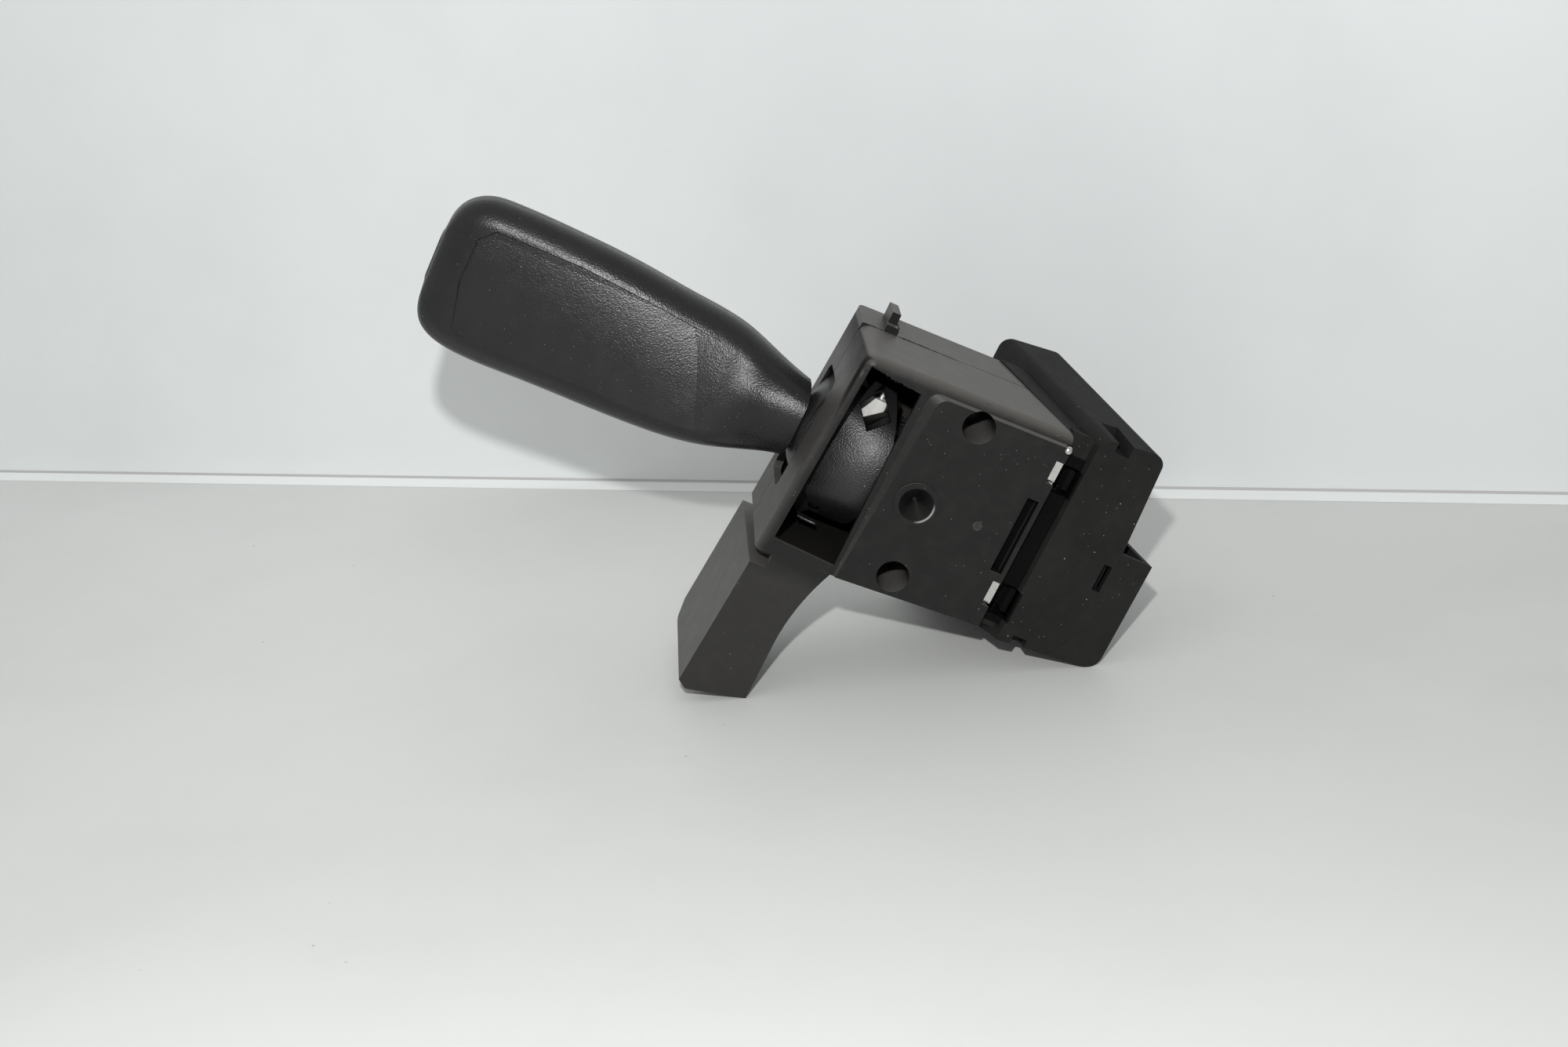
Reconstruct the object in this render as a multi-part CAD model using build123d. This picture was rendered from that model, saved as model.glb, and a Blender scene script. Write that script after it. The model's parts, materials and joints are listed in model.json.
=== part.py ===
# Steering-column combination stalk switch: a paddle-shaped lever on a swinging carrier, its two-part
# housing with the mounting wing, and the clipped-on base block that carries the connector.
# Pieces are drawn square to the stalk (X along it, Y to the rear, Z up the window) with the upper
# fixing well at the origin, and are then turned about Y into the attitude in which the switch stands.
import math
import os

from build123d import *

# Housing shell (mm)
wall = 2.2
front_step = 0.8             # the left part of the front lies this much behind the raised plate
front_wall = 2.4             # thickness of the front plate
stalk_to_back = 17.0         # from the stalk's axis to the back of the housing
housing_left_top = -33.6
housing_left_bottom = -37.8
housing_top_left = 5.8
housing_top_right = 7.6
housing_top_rise = 0.03      # rise of the top side per mm of depth
housing_bottom_left = -53.0
housing_bottom_right = -48.6
end_wall_front = 24.2
end_wall_lean = 0.36         # the right end wall leans to the left by this much per mm of depth
ridge_radius = 3.0
seam_width = 0.3
seam_depth = 0.4

# Fixing wells and the screws' sleeves
well_radius = 4.3
well_wall = 2.0
well_depth = 20.0
well_seat = 2.4
lower_well_u = -2.4
lower_well_w = -45.2
sleeve_bore = 2.25
sleeve_wall = 1.0
post_radius = 4.8

# Swing axis, pull axis and stalk
swing_u = -5.6
swing_w = -24.9
pull_u = -20.0
swing_angle = 8.0
pull_angle = 6.0
pivot_boss_radius = 5.5
pivot_boss_end = 8.4
running_gap = 0.05
hub_wall = 2.6
dimple_radius = 4.5
dimple_depth = 4.6
dimple_rim = 0.6

# Window and raised plate
window_corners = [(-31.5, 3.4), (-16.9, 1.9), (-17.3, -49.0), (-34.8, -48.2)]
plate_corner = (-12.2, 3.2)
plate_foot = (-15.9, -51.5)
plate_radius = 3.0
plate_ramp_top = 2.6
plate_ramp_foot = 0.6
slot_left = 19.8
slot_right = 23.1
slot_top = -11.6
slot_bottom = -33.5
slot_depth = 4.0

# Neck opening in the left wall
opening_length = 32.5
opening_width = 18.0
opening_corner = 2.5

# Mounting wing
wing_depth = 45.0
wing_shift = -1.1            # the wing's rear outline lies this much to the left of the front one
wing_top = -56.5
wing_left_foot = (-41.0, -94.5)
wing_tip_left = (-38.5, -96.3)
wing_tip_right = (-22.7, -92.4)
wing_lip = 2.4
wing_roof = 1.8
wing_lip_depth = 30.0

# Base block and its connector shroud
base_depth = 62.0
base_wall = 2.0
base_left = 30.1
base_left_lean = 0.32
base_right = 47.3
base_right_lean = 0.30
base_top = 10.4
base_top_slope = 0.12
base_top_rise = 0.02
base_left_ridge = 3.6
base_right_ridge = 3.0
top_notch_front = (34.3, 38.4)
top_notch_rear = (31.3, 35.9)
top_notch_depth = 12.0
top_notch_floor = 8.2
foot_notch = (33.8, 37.8, -47.3)
base_side_slope = 0.07
shroud_right = 58.0
shroud_top = -15.6
shroud_bottom = -47.8
shroud_lean = 0.339
shroud_corner = 4.0
shroud_wall = 1.6
shroud_depth = 36.0
shroud_floor = -45.6
latch_slot = (46.4, 48.6, -27.5, -19.9)
groove_depth = 3.0
groove_web = 2.2
groove_front = 0.7
groove_fillet = 2.3
groove_foot = -47.0
groove_length = 55.5
strip_left = 22.5
strip_width = 2.8
strip_thickness = 0.8
strip_notches = [(-6.2, 0.2), (-42.8, -35.7)]
strip_notch_left = 22.0
strip_gap = 0.2
strip_bar_front = 1.0
bead_place = (23.6, 1.0, 3.7)
bead_radius = 1.3
hook_arm_front = 8.4
hook_arm = 1.8
hook_nose = 1.5
hook_nose_drop = 1.2         # from the groove's floor down to the hook's nose
hook_windows = [(22.9, 30.0, -8.4, -0.5), (22.9, 30.8, -45.0, -36.0)]
cover_thickness = 2.0

# Connector blades
blade_count = 8
blade_pitch = 3.3
blade_first = 9.0
blade_width = 1.5
blade_thickness = 0.8
blade_tip = -29.0
board_thickness = 1.6
board_offset = 6.5           # the connector board stands this far inside the base's right wall

# Carrier drum
drum_radius = 20.5
drum_wall = 3.5
drum_room = 4.3              # between the drum's crown and the inside of the front plate
drum_right = -14.5
drum_right_top = -19.2
drum_right_foot = -17.0
drum_notch = [(-31.3, -40.0), (-24.7, -40.0), (-24.0, -43.0), (-30.0, -44.0)]
drum_left_gap = 0.59         # between the drum's left end and the inside of the left wall
rear_plate = 2.2
shield_gap = 0.02
shield_wall_gap = 0.37       # between the shield's outer face and the inner edge of the neck opening
shield_half_width = 8.5
shield_half_angle = 42.0
dome_centre_u = -30.8
dome_radii = (8.0, 11.0, 13.8)
neck_gap = 0.3               # between the dome and the handle's hollow neck end
core_gap = 0.6
trunnion_radius = 6.5
slider_bore = 4.5

# Detent
detent_offset = 16.5         # distance of the plunger from the swing axis
detent_tip = 1.5
detent_travel = 0.5
plunger_radius = 2.0
track_thickness = 2.0
track_clearance = 0.05

# Lever and handle
pin_radius = 2.5
hub_radius = 5.5
hub_end_gap = 1.5
core_width = 12.0
core_thickness = 6.0
core_end = -78.0
ball_radius = 2.5
tail_radius = 1.75
handle_wall = 2.0
recess_depth = 1.7

# Contact sliders
drive_offset = 15.0
drive_pin_radius = 2.0
slider_thickness = 2.4
slider_gap = 0.4
bridge_room = 0.7            # between the slider and the contact board
slider_length = 19.0
slider_height = 9.6
contact_pin_radius = 1.2
sleeve_from_back = 10.4

# Depths that follow from the drum and the room behind the stalk
drum_front = front_step + front_wall + drum_room
stalk_y = drum_front + drum_radius
part_line = stalk_y          # depth at which the front and rear shells meet
housing_depth = stalk_y + stalk_to_back
cheek_rear = housing_depth - 7.5
trunnion_front = stalk_y + 3.0
trunnion_rear = housing_depth - wall - 0.4
board_front = cheek_rear + slider_gap + slider_thickness + bridge_room
sleeve_front = housing_depth - sleeve_from_back
hub_half_length = drum_radius - drum_wall - hub_end_gap
hub_arm_front = drum_front + 1.5
hub_arm_rear = hub_arm_front + 2.6

# Radii about the swing axis and the pull axis that follow from the left wall and the dome
side_lean = (housing_left_top - housing_left_bottom) / (housing_top_left - housing_bottom_left)
side_inside = housing_left_top - side_lean * (housing_top_left - swing_w) + wall
carrier_reach = swing_u - side_inside - drum_left_gap
opening_edge = swing_u - side_inside - side_lean * opening_length / 2
shield_reach = math.hypot(opening_edge, opening_length / 2) - shield_wall_gap
neck_radius = pull_u - dome_centre_u + dome_radii[0] + neck_gap

# The switch stands on the right corner of its wing tip and on the rounded corner of the shroud.
shroud_corner_u = shroud_right - shroud_corner
shroud_corner_w = shroud_bottom + shroud_corner
span_u = shroud_corner_u - wing_tip_right[0]
span_w = wing_tip_right[1] - shroud_corner_w
stand_tilt = -math.degrees(
    math.asin(shroud_corner / math.hypot(span_u, span_w)) + math.atan2(span_w, span_u)
)
base_bottom_lean = shroud_lean * math.tan(math.radians(stand_tilt))


def across(depth):
    return Plane((0, depth, 0), x_dir=(1, 0, 0), z_dir=(0, -1, 0))


def prism(sketch, front, rear):
    return extrude(across(front) * sketch, rear - front, dir=(0, 1, 0))


def taper(front_sketch, front, rear_sketch, rear):
    return loft([across(front) * front_sketch, across(rear) * rear_sketch], ruled=True)


def rod(u, w, radius, front, rear):
    return prism(Pos(u, w) * Circle(radius), front, rear)


def tube(u, w, radius, bore, front, rear):
    return rod(u, w, radius, front, rear) - rod(u, w, bore, front - 1, rear + 1)


def bar(u0, u1, y0, y1, w0, w1):
    return Pos((u0 + u1) / 2, (y0 + y1) / 2, (w0 + w1) / 2) * Box(u1 - u0, y1 - y0, w1 - w0)


def along_stalk(sketch, start, end):
    plane = Plane((start, 0, 0), x_dir=(0, 1, 0), z_dir=(1, 0, 0))
    return extrude(plane * sketch, end - start, dir=(1, 0, 0))


def polygon(*points):
    return Polygon(*points, align=None)


def edge_at(shape, u, y, w):
    return shape.edges().sort_by_distance((u, y, w))[0]


def coil(u, w, radius, wire, front, rear, turns):
    path = Plane((u, front, w), x_dir=(1, 0, 0), z_dir=(0, 1, 0)) * Helix(
        (rear - front) / turns, rear - front, radius
    )
    start = Plane(path @ 0, z_dir=path % 0)
    return sweep(start * RegularPolygon(wire, 6), path=path, is_frenet=True)


# Housing shells

def housing_outline(depth, inset=0.0):
    right = end_wall_front - end_wall_lean * depth
    rise = housing_top_rise * depth
    top_slope = (housing_top_right - housing_top_left) / (end_wall_front - housing_left_top)
    foot_slope = (housing_bottom_right - housing_bottom_left) / (end_wall_front - housing_left_bottom)
    outline = polygon(
        (housing_left_top, housing_top_left + rise),
        (right, housing_top_left + rise + top_slope * (right - housing_left_top)),
        (right, housing_bottom_left + foot_slope * (right - housing_left_bottom)),
        (housing_left_bottom, housing_bottom_left),
    )
    return offset(outline, -inset, kind=Kind.INTERSECTION) if inset else outline


def housing_form(inset, front, rear):
    return taper(housing_outline(front, inset), front, housing_outline(rear, inset), rear)


def seam(front, rear):
    return housing_form(-1, front, rear) - housing_form(seam_depth, front - 1, rear + 1)


def neck_opening():
    slot = Pos(stalk_y, swing_w) * RectangleRounded(opening_width, opening_length, opening_corner)
    return along_stalk(slot, housing_left_bottom - 1, housing_left_top + wall + 2)


def rounded_corner(sketch, corner):
    nearest = sketch.vertices().sort_by_distance((*corner, 0))[0]
    return fillet(nearest, plate_radius)


def raised_plate():
    right = end_wall_front
    top = plate_corner[1] + 1.2
    foot = housing_bottom_left + 1.5
    face = polygon(plate_corner, (right, top), (right, housing_bottom_right), plate_foot)
    skirt = polygon(
        (plate_corner[0] - plate_ramp_top, plate_corner[1] + 0.6),
        (right, top + 0.6),
        (right, housing_bottom_right),
        (plate_foot[0] - plate_ramp_foot, foot),
    )
    return taper(rounded_corner(face, plate_corner), 0, rounded_corner(skirt, plate_corner), front_step)


def wing_outline(shift):
    outer = Polyline(
        (-16.6, -50.0),
        (-33.0, -50.0),
        (-33.2, wing_top),
        (housing_left_bottom, wing_top),
        wing_left_foot,
        wing_tip_left,
        wing_tip_right,
        (-22.5, -77.0),
    )
    inner_curve = ThreePointArc((-22.5, -77.0), (-21.0, -63.0), (-16.6, -50.0))
    return Pos(shift, 0) * make_face(outer.edges() + inner_curve.edges())


def wing_hollow(shift):
    hollow = polygon(
        (housing_left_bottom + wall, -50),
        (wing_left_foot[0] + wall, wing_tip_left[1] + wing_lip + 1.4),
        (wing_tip_right[0], wing_tip_right[1] + wing_lip),
        (-5, wing_tip_right[1] + wing_lip),
        (-5, -50),
    )
    return Pos(shift, 0) * hollow


def wing():
    front = front_step + front_wall
    floor = wing_tip_left[1]
    depth_profile = polygon(
        (0, -49), (front, -49), (front, wing_top), (wing_depth, wing_top),
        (wing_depth, floor + 6.3), (wing_depth - 4, floor + 2.3), (wing_depth - 16, floor - 0.3),
        (0, floor - 2),
    )
    outer = taper(wing_outline(0), front_step, wing_outline(wing_shift), wing_depth)
    outer &= along_stalk(depth_profile, -45, -10)
    form = outer - taper(wing_hollow(0), front, wing_hollow(wing_shift), wing_depth + 1)
    roof = bar(wing_left_foot[0], -10, front_step + 1, wing_depth, wing_top - wing_roof, wing_top)
    form += roof & outer
    form -= bar(-37, -10, wing_lip_depth, wing_depth + 1, floor - 2, wing_tip_right[1] + wing_lip)
    return form


def snap_hook(window, grow=0.0):
    left, right, low, high = window
    bottom = low + 1.2 - grow
    top = high - 1.2 + grow
    root = end_wall_front - hook_arm_front * end_wall_lean - wall
    tip = right - 0.8 + grow
    nose_front = groove_depth + hook_nose_drop - grow
    arm = bar(root, tip, hook_arm_front - grow, hook_arm_front + hook_arm + grow, bottom, top)
    return arm + bar(tip - hook_nose - grow, tip, nose_front, hook_arm_front, bottom, top)


def strip_notch():
    rear = groove_depth + groove_web + strip_gap
    shapes = [bar(strip_notch_left, end_wall_front + 1, -1, rear, low, high) for low, high in strip_notches]
    u, y, w = bead_place
    pocket = Pos(u, y, w) * Sphere(bead_radius + strip_gap)
    pocket += bar(u - 0.8, end_wall_front + 1, y, rear, w - 0.8, w + 0.8)
    return shapes + [pocket]


def housing_front():
    body = housing_form(0, front_step, part_line)
    ridges = [
        edge_at(body, -5, front_step, 6.5),
        edge_at(body, -35.7, front_step, -24),
        edge_at(body, housing_left_top, 15, housing_top_left),
    ]
    body = fillet(ridges, ridge_radius)
    body -= housing_form(wall, front_step + front_wall, part_line + 1)
    body += raised_plate() & housing_form(0, 0, front_step)
    body += wing()
    body += rod(0, 0, well_radius + well_wall, front_step + 1, well_depth + well_seat)
    lower = rod(lower_well_u, lower_well_w, well_radius + well_wall, front_step + 1, well_depth + well_seat)
    body += lower & housing_form(0, 0, part_line)
    body += rod(swing_u, swing_w, pivot_boss_radius, front_step + 1, pivot_boss_end)
    body += rod(swing_u, swing_w, dimple_radius + 1.4, -dimple_rim, front_step)
    body -= prism(polygon(*window_corners), -1, front_step + front_wall + 1)
    for u, w in ((0, 0), (lower_well_u, lower_well_w)):
        body -= rod(u, w, well_radius, -2, well_depth)
        body -= rod(u, w, sleeve_bore, well_depth - 1, part_line)
        body -= rod(u, w, sleeve_bore + sleeve_wall, well_depth + well_seat, part_line + 1)
    cone = Cone(dimple_radius, 0.6, dimple_depth, align=(Align.CENTER, Align.CENTER, Align.MIN))
    body -= Pos(swing_u, -dimple_rim, swing_w) * Rot(-90, 0, 0) * cone
    body -= bar(slot_left, slot_right, -1, slot_depth, slot_bottom, slot_top)
    body -= neck_opening()
    body -= seam(part_line - seam_width / 2, part_line + 1)
    for notch in strip_notch():
        body -= notch
    for window in hook_windows:
        body += snap_hook(window)
    return body


def bearing_ring():
    return tube(
        swing_u, swing_w, trunnion_radius + running_gap + 1.5, trunnion_radius + running_gap,
        trunnion_rear - 2.8, housing_depth - wall,
    )


def slider_rails():
    low = swing_w + drive_offset - slider_height / 2 - 0.1
    high = low + slider_height + 0.2
    left = swing_u - slider_length / 2 - 3
    right = swing_u + slider_length / 2
    front = cheek_rear + 0.6
    rails = bar(left, right, front, housing_depth - wall, low - 1.5, low)
    rails += bar(left, right, front, housing_depth - wall, high, high + 1.4)
    return rails


def contact_board_form(grow=0.0):
    middle = swing_w + drive_offset
    half = slider_height / 2 + grow
    right = base_right - board_offset - base_right_lean * board_front - 0.5
    rear = board_front + board_thickness
    return bar(-21 - grow, right + grow, board_front - grow, rear + grow, middle - half, middle + half)


def mounting_lug():
    root = housing_top_left - 0.8
    block = polygon((-27.4, root), (-27.4, 8.8), (-24.2, 8.8), (-23.8, 8.2), (-23.8, root))
    gusset = polygon((-24.5, root), (-22.5, root), (-22.5, 7.4), (-24.5, 9.4))
    lug = prism(block, part_line, part_line + 3.5)
    lug += bar(-26.9, -24.5, part_line + 3, housing_depth - 4, root, 11.8)
    return lug + prism(gusset, part_line + 7, part_line + 8.5)


def housing_rear():
    body = housing_form(0, part_line, housing_depth)
    body = fillet(edge_at(body, -35.7, housing_depth, -24), 2.0)
    body -= housing_form(wall, part_line - 1, housing_depth - wall)
    for u, w in ((0, 0), (lower_well_u, lower_well_w)):
        socket = rod(u, w, post_radius, well_depth + well_seat, part_line)
        body += socket & housing_form(wall + running_gap, well_depth, part_line)
        body += rod(u, w, post_radius, part_line, housing_depth) & housing_form(0, part_line, housing_depth)
    body += bearing_ring()
    body += slider_rails()
    for u, w in ((0, 0), (lower_well_u, lower_well_w)):
        body -= rod(u, w, sleeve_bore + sleeve_wall, well_depth, housing_depth + 1)
    body -= contact_board_form(0.15)
    body -= neck_opening()
    body -= seam(part_line - 1, part_line + seam_width / 2)
    return body + mounting_lug()


def fixing_sleeves():
    shapes = []
    front = well_depth + well_seat
    for u, w in ((0, 0), (lower_well_u, lower_well_w)):
        shapes.append(tube(u, w, sleeve_bore + sleeve_wall, sleeve_bore, front, housing_depth))
    return shapes


# Base block

def base_outline(depth, inset=0.0):
    left = base_left - base_left_lean * depth
    right = base_right - base_right_lean * depth
    shroud = shroud_right - shroud_lean * depth
    bottom = shroud_bottom - base_bottom_lean * depth
    left_top = base_top + base_top_rise * depth
    top = left_top + base_top_slope * (right - left)
    outline = polygon(
        (left, left_top),
        (right, top),
        (right + base_side_slope * (top - shroud_top), shroud_top),
        (shroud, shroud_top),
        (shroud, bottom),
        (left, bottom - 0.08 * (shroud - left)),
    )
    return offset(outline, -inset, kind=Kind.INTERSECTION) if inset else outline


def base_form(inset, front, rear):
    return taper(base_outline(front, inset), front, base_outline(rear, inset), rear)


def pocket_outline(depth, grow=0.0, mouth=0.0):
    left = base_right + 2.1 - base_right_lean * depth
    right = shroud_right - shroud_wall - shroud_lean * depth
    bottom = shroud_floor - base_bottom_lean * depth
    top = shroud_top + mouth
    return polygon(
        (left - grow, top), (right + grow, top), (right + grow, bottom - grow), (left - grow, bottom - grow)
    )


def pocket_form(grow=0.0, mouth=0.0):
    front = shroud_wall - grow
    rear = shroud_depth + grow
    return taper(pocket_outline(front, grow, mouth), front, pocket_outline(rear, grow, mouth), rear)


def shoulder_outline(depth, inset=0.0):
    left = end_wall_front - end_wall_lean * depth
    right = base_left - base_left_lean * depth
    top = housing_top_right + housing_top_rise * depth
    outline = polygon(
        (left + inset, top - inset),
        (right + 0.8, top - inset),
        (right + 0.8, housing_bottom_right + inset),
        (left + inset, housing_bottom_right + inset),
    )
    return outline


def groove_floor():
    rear = groove_depth + groove_web
    lip = base_left - groove_fillet * 0.25
    turn = base_left - groove_fillet
    profile = make_face(
        Polyline(
            (base_left, groove_front), (base_left + 0.6, groove_front), (base_left + 0.6, rear),
            (end_wall_front - 1.4, rear), (end_wall_front - 1.0, groove_depth), (turn, groove_depth),
        ).edges()
        + ThreePointArc((turn, groove_depth), (lip, groove_front + 1.6), (base_left, groove_front)).edges()
    )
    return Pos(0, 0, groove_foot) * extrude(profile, groove_length, dir=(0, 0, 1))


def connector_board_outline(depth, reach=0.0):
    face = base_right - board_offset - base_right_lean * depth
    return polygon(
        (face - board_thickness, -4), (face + reach, -4), (face + reach, -46), (face - board_thickness, -46)
    )


def connector_board():
    rear = base_depth - 6
    return taper(connector_board_outline(8), 8, connector_board_outline(rear), rear)


def connector_blades(grow=0.0):
    shapes = []
    for index in range(blade_count):
        y = blade_first + blade_pitch * index
        lean = base_right_lean * y
        u = base_right + 2.1 + 3.6 - lean - 0.03 * y
        floor = shroud_floor - base_bottom_lean * y
        board = base_right - board_offset - lean
        half = blade_width / 2 + grow
        right = u + blade_thickness / 2
        upright = bar(right - blade_thickness, right, y - half, y + half, floor + 0.6, blade_tip)
        foot = bar(board - 0.05, right, y - half, y + half, floor + 0.6, floor + 1.4)
        shapes.append(upright + foot)
    return shapes


def top_notch(grow=0.0):
    floor = top_notch_floor - grow
    outlines = []
    for left, right in (top_notch_front, top_notch_rear):
        left -= grow
        right += grow
        outlines.append(polygon((left, floor), (right, floor), (right, 16), (left, 16)))
    return taper(outlines[0], 0, outlines[1], top_notch_depth + grow)


def base_block():
    middle = base_depth / 2
    middle_left = base_left - base_left_lean * middle
    middle_right = base_right - base_right_lean * middle
    body = base_form(0, 0, base_depth)
    body = fillet(edge_at(body, 48, middle, -54), shroud_corner)
    body = fillet(edge_at(body, middle_right, middle, 13), base_right_ridge)
    body = fillet(edge_at(body, middle_left, middle, base_top), base_left_ridge)
    outside = body
    front = groove_depth + 0.4
    body += taper(shoulder_outline(front), front, shoulder_outline(housing_depth), housing_depth)
    body += groove_floor()
    body -= base_form(base_wall, 2.2, base_depth + 1) - pocket_form(shroud_wall)
    body -= pocket_form(0, 2)
    inner_front = groove_depth + groove_web
    body -= taper(
        shoulder_outline(inner_front, base_wall), inner_front,
        shoulder_outline(housing_depth - wall, base_wall), housing_depth - wall,
    )
    body += top_notch(1.4) & outside
    body -= top_notch()
    left, right, low, high = latch_slot
    body -= bar(left, right, -1, 3.4, low, high)
    left, right, high = foot_notch
    body -= bar(left, right, -1, 6, high - 8, high)
    for left, right, low, high in hook_windows:
        body -= bar(left, right, -1, hook_arm_front + hook_arm + 0.3, low, high)
        body -= snap_hook((left, right, low, high), 0.1)
    body -= retaining_strip()
    body -= contact_board_form(0.15)
    for blade in connector_blades():
        body -= blade
    return body


def base_cover():
    front = base_depth - cover_thickness
    return base_form(base_wall, front, base_depth)


def retaining_strip():
    front = groove_depth + groove_web
    strip = bar(strip_left, strip_left + strip_width, front, front + strip_thickness, -43.5, 4.4)
    for low, high in strip_notches:
        low += strip_gap
        high -= strip_gap
        upright = bar(strip_notch_left + strip_gap, end_wall_front, strip_bar_front, front + 0.1, low, high)
        strip += fillet(edge_at(upright, end_wall_front - 1, strip_bar_front, low), 0.9)
    u, y, w = bead_place
    strip += bar(u - 0.6, u + 0.6, y, front + 0.1, w - 0.6, w + 0.6)
    return strip + Pos(u, y, w) * Sphere(bead_radius)


# Carrier and what it carries

def dome_sketch(radius, rear):
    half = Pos(stalk_y, swing_w) * Circle(radius)
    return half & Pos((rear + stalk_y - radius) / 2, swing_w) * Rectangle(rear - stalk_y + radius, 2 * radius)


def drum_end():
    high = swing_w + drum_radius + 1
    low = swing_w - drum_radius - 1
    far = drum_right + 12
    arc = ThreePointArc((drum_right_top, high), (drum_right, swing_w), (drum_right_foot, low))
    rest = Polyline((drum_right_foot, low), (far, low), (far, high), (drum_right_top, high))
    return prism(make_face(arc.edges() + rest.edges()), 0, housing_depth)


def carrier():
    left = swing_u - carrier_reach - 2
    drum = along_stalk(dome_sketch(drum_radius, stalk_y), left, drum_right + 4)
    drum += bar(left, drum_right + 4, stalk_y, cheek_rear, swing_w - drum_radius, swing_w + drum_radius)
    inner = drum_radius - drum_wall
    plate_front = cheek_rear - rear_plate
    drum -= along_stalk(dome_sketch(inner, stalk_y), left - 1, drum_right + 5)
    drum -= bar(left - 1, drum_right + 5, stalk_y - 1, plate_front, swing_w - inner, swing_w + inner)
    drum -= drum_end()
    drum &= rod(swing_u, swing_w, carrier_reach, 0, housing_depth)
    front_arm = bar(drum_right - 5, swing_u, hub_arm_front, hub_arm_rear, swing_w - 6, swing_w + 6)
    hub = rod(swing_u, swing_w, pivot_boss_radius + running_gap + hub_wall, 3.6, hub_arm_rear)
    tail = bar(swing_u, swing_u + detent_offset, 5.4, 10.4, swing_w - 3.1, swing_w + 3.1)
    tail += rod(swing_u + detent_offset, swing_w, plunger_radius + 1.3, 5.4, 16)
    rear_arm = bar(drum_right - 5, swing_u, plate_front, cheek_rear, swing_w - 8, swing_w + 8)
    lobe = bar(swing_u - 3, swing_u + 3, plate_front, cheek_rear, swing_w, swing_w + drive_offset)
    lobe += rod(swing_u, swing_w + drive_offset, 3.0, plate_front, cheek_rear)
    pin_end = cheek_rear + slider_thickness + 0.2
    lobe += rod(swing_u, swing_w + drive_offset, drive_pin_radius, cheek_rear, pin_end)
    body = drum + front_arm + hub + tail + rear_arm + lobe
    body += rod(swing_u, swing_w, trunnion_radius, trunnion_front, trunnion_rear)
    body -= rod(swing_u, swing_w, slider_bore, trunnion_front - 1, housing_depth)
    body -= rod(swing_u, swing_w, pivot_boss_radius + running_gap, 3, hub_arm_rear + 0.1)
    body -= rod(swing_u + detent_offset, swing_w, plunger_radius + running_gap, 5, 14.6)
    body -= Pos(pull_u, stalk_y, swing_w) * Cylinder(pin_radius + 0.02, 2 * drum_radius + 2)
    diamond = Pos(-22.9, -10.4) * Rectangle(6.6, 6.6, rotation=38)
    body -= prism(diamond, 5, stalk_y)
    body -= prism(polygon(*drum_notch), 5, stalk_y - 6)
    return body


def shield_sector(radius, front, rear):
    half = math.radians(shield_half_angle)
    reach = 60
    sector = polygon(
        (swing_u, swing_w),
        (swing_u - reach * math.cos(half), swing_w + reach * math.sin(half)),
        (swing_u - reach * math.cos(half), swing_w - reach * math.sin(half)),
    )
    return prism(sector, front, rear) & rod(swing_u, swing_w, radius, front, rear)


def dust_shield():
    inner = carrier_reach + shield_gap
    front = stalk_y - shield_half_width
    rear = stalk_y + shield_half_width
    side = core_width / 2 + core_gap
    reach = neck_radius - 2
    dome = Pos(dome_centre_u, stalk_y, swing_w) * scale(Sphere(1), dome_radii)
    dome &= bar(-50, dome_centre_u + 4, front, rear, swing_w - drum_radius, swing_w + drum_radius)
    shield = shield_sector(shield_reach, front, rear) + dome
    shield -= rod(swing_u, swing_w, inner, front - 1, rear + 1)
    slot_front = stalk_y - core_thickness / 2 - core_gap
    slot_rear = stalk_y + core_thickness / 2 + core_gap + reach * math.sin(math.radians(pull_angle))
    shield -= bar(-45, pull_u, slot_front, slot_rear, swing_w - side, swing_w + side)
    return shield


def pull_pin():
    return Pos(pull_u, stalk_y, swing_w) * Cylinder(pin_radius, 2 * drum_radius - 1.5)


def return_spring():
    return coil(swing_u, swing_w, 3.6, 0.4, pivot_boss_end + 0.5, stalk_y - 5.6, 7)


def detent_track():
    u = swing_u + detent_offset
    front = front_step + front_wall
    rear = front + track_thickness
    plate = bar(u - 3.2, u + 3.2, front, rear, swing_w - 6.2, swing_w + 6.2)
    for angle in (-swing_angle, 0, swing_angle):
        turn = math.radians(angle)
        seat_u = swing_u + detent_offset * math.cos(turn)
        seat_w = swing_w - detent_offset * math.sin(turn)
        seat_y = rear - detent_travel + detent_tip
        plate -= Pos(seat_u, seat_y, seat_w) * Sphere(detent_tip)
    return plate


def detent_plunger():
    u = swing_u + detent_offset
    tip = front_step + front_wall + track_thickness + track_clearance
    body = rod(u, swing_w, plunger_radius, tip + detent_tip, 9.6)
    body += Pos(u, tip + detent_tip, swing_w) * Sphere(detent_tip)
    return body


def detent_spring():
    return coil(swing_u + detent_offset, swing_w, 1.4, 0.28, 9.9, 14.3, 5)


# Lever

def lever_core():
    arm = bar(core_end, pull_u, stalk_y - core_thickness / 2, stalk_y + core_thickness / 2,
              swing_w - core_width / 2, swing_w + core_width / 2)
    hub = Pos(pull_u, stalk_y, swing_w) * Cylinder(hub_radius, 2 * hub_half_length)
    tail = along_stalk(Pos(stalk_y, swing_w) * Circle(tail_radius), pull_u + 4, swing_u)
    tail += along_stalk(Pos(stalk_y, swing_w) * Circle(3.0), pull_u + 4, pull_u + 7)
    tail += Pos(swing_u, stalk_y, swing_w) * Sphere(ball_radius)
    body = arm + hub + tail
    body -= Pos(pull_u, stalk_y, swing_w) * Cylinder(pin_radius + running_gap, 4 * hub_half_length)
    return body


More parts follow.
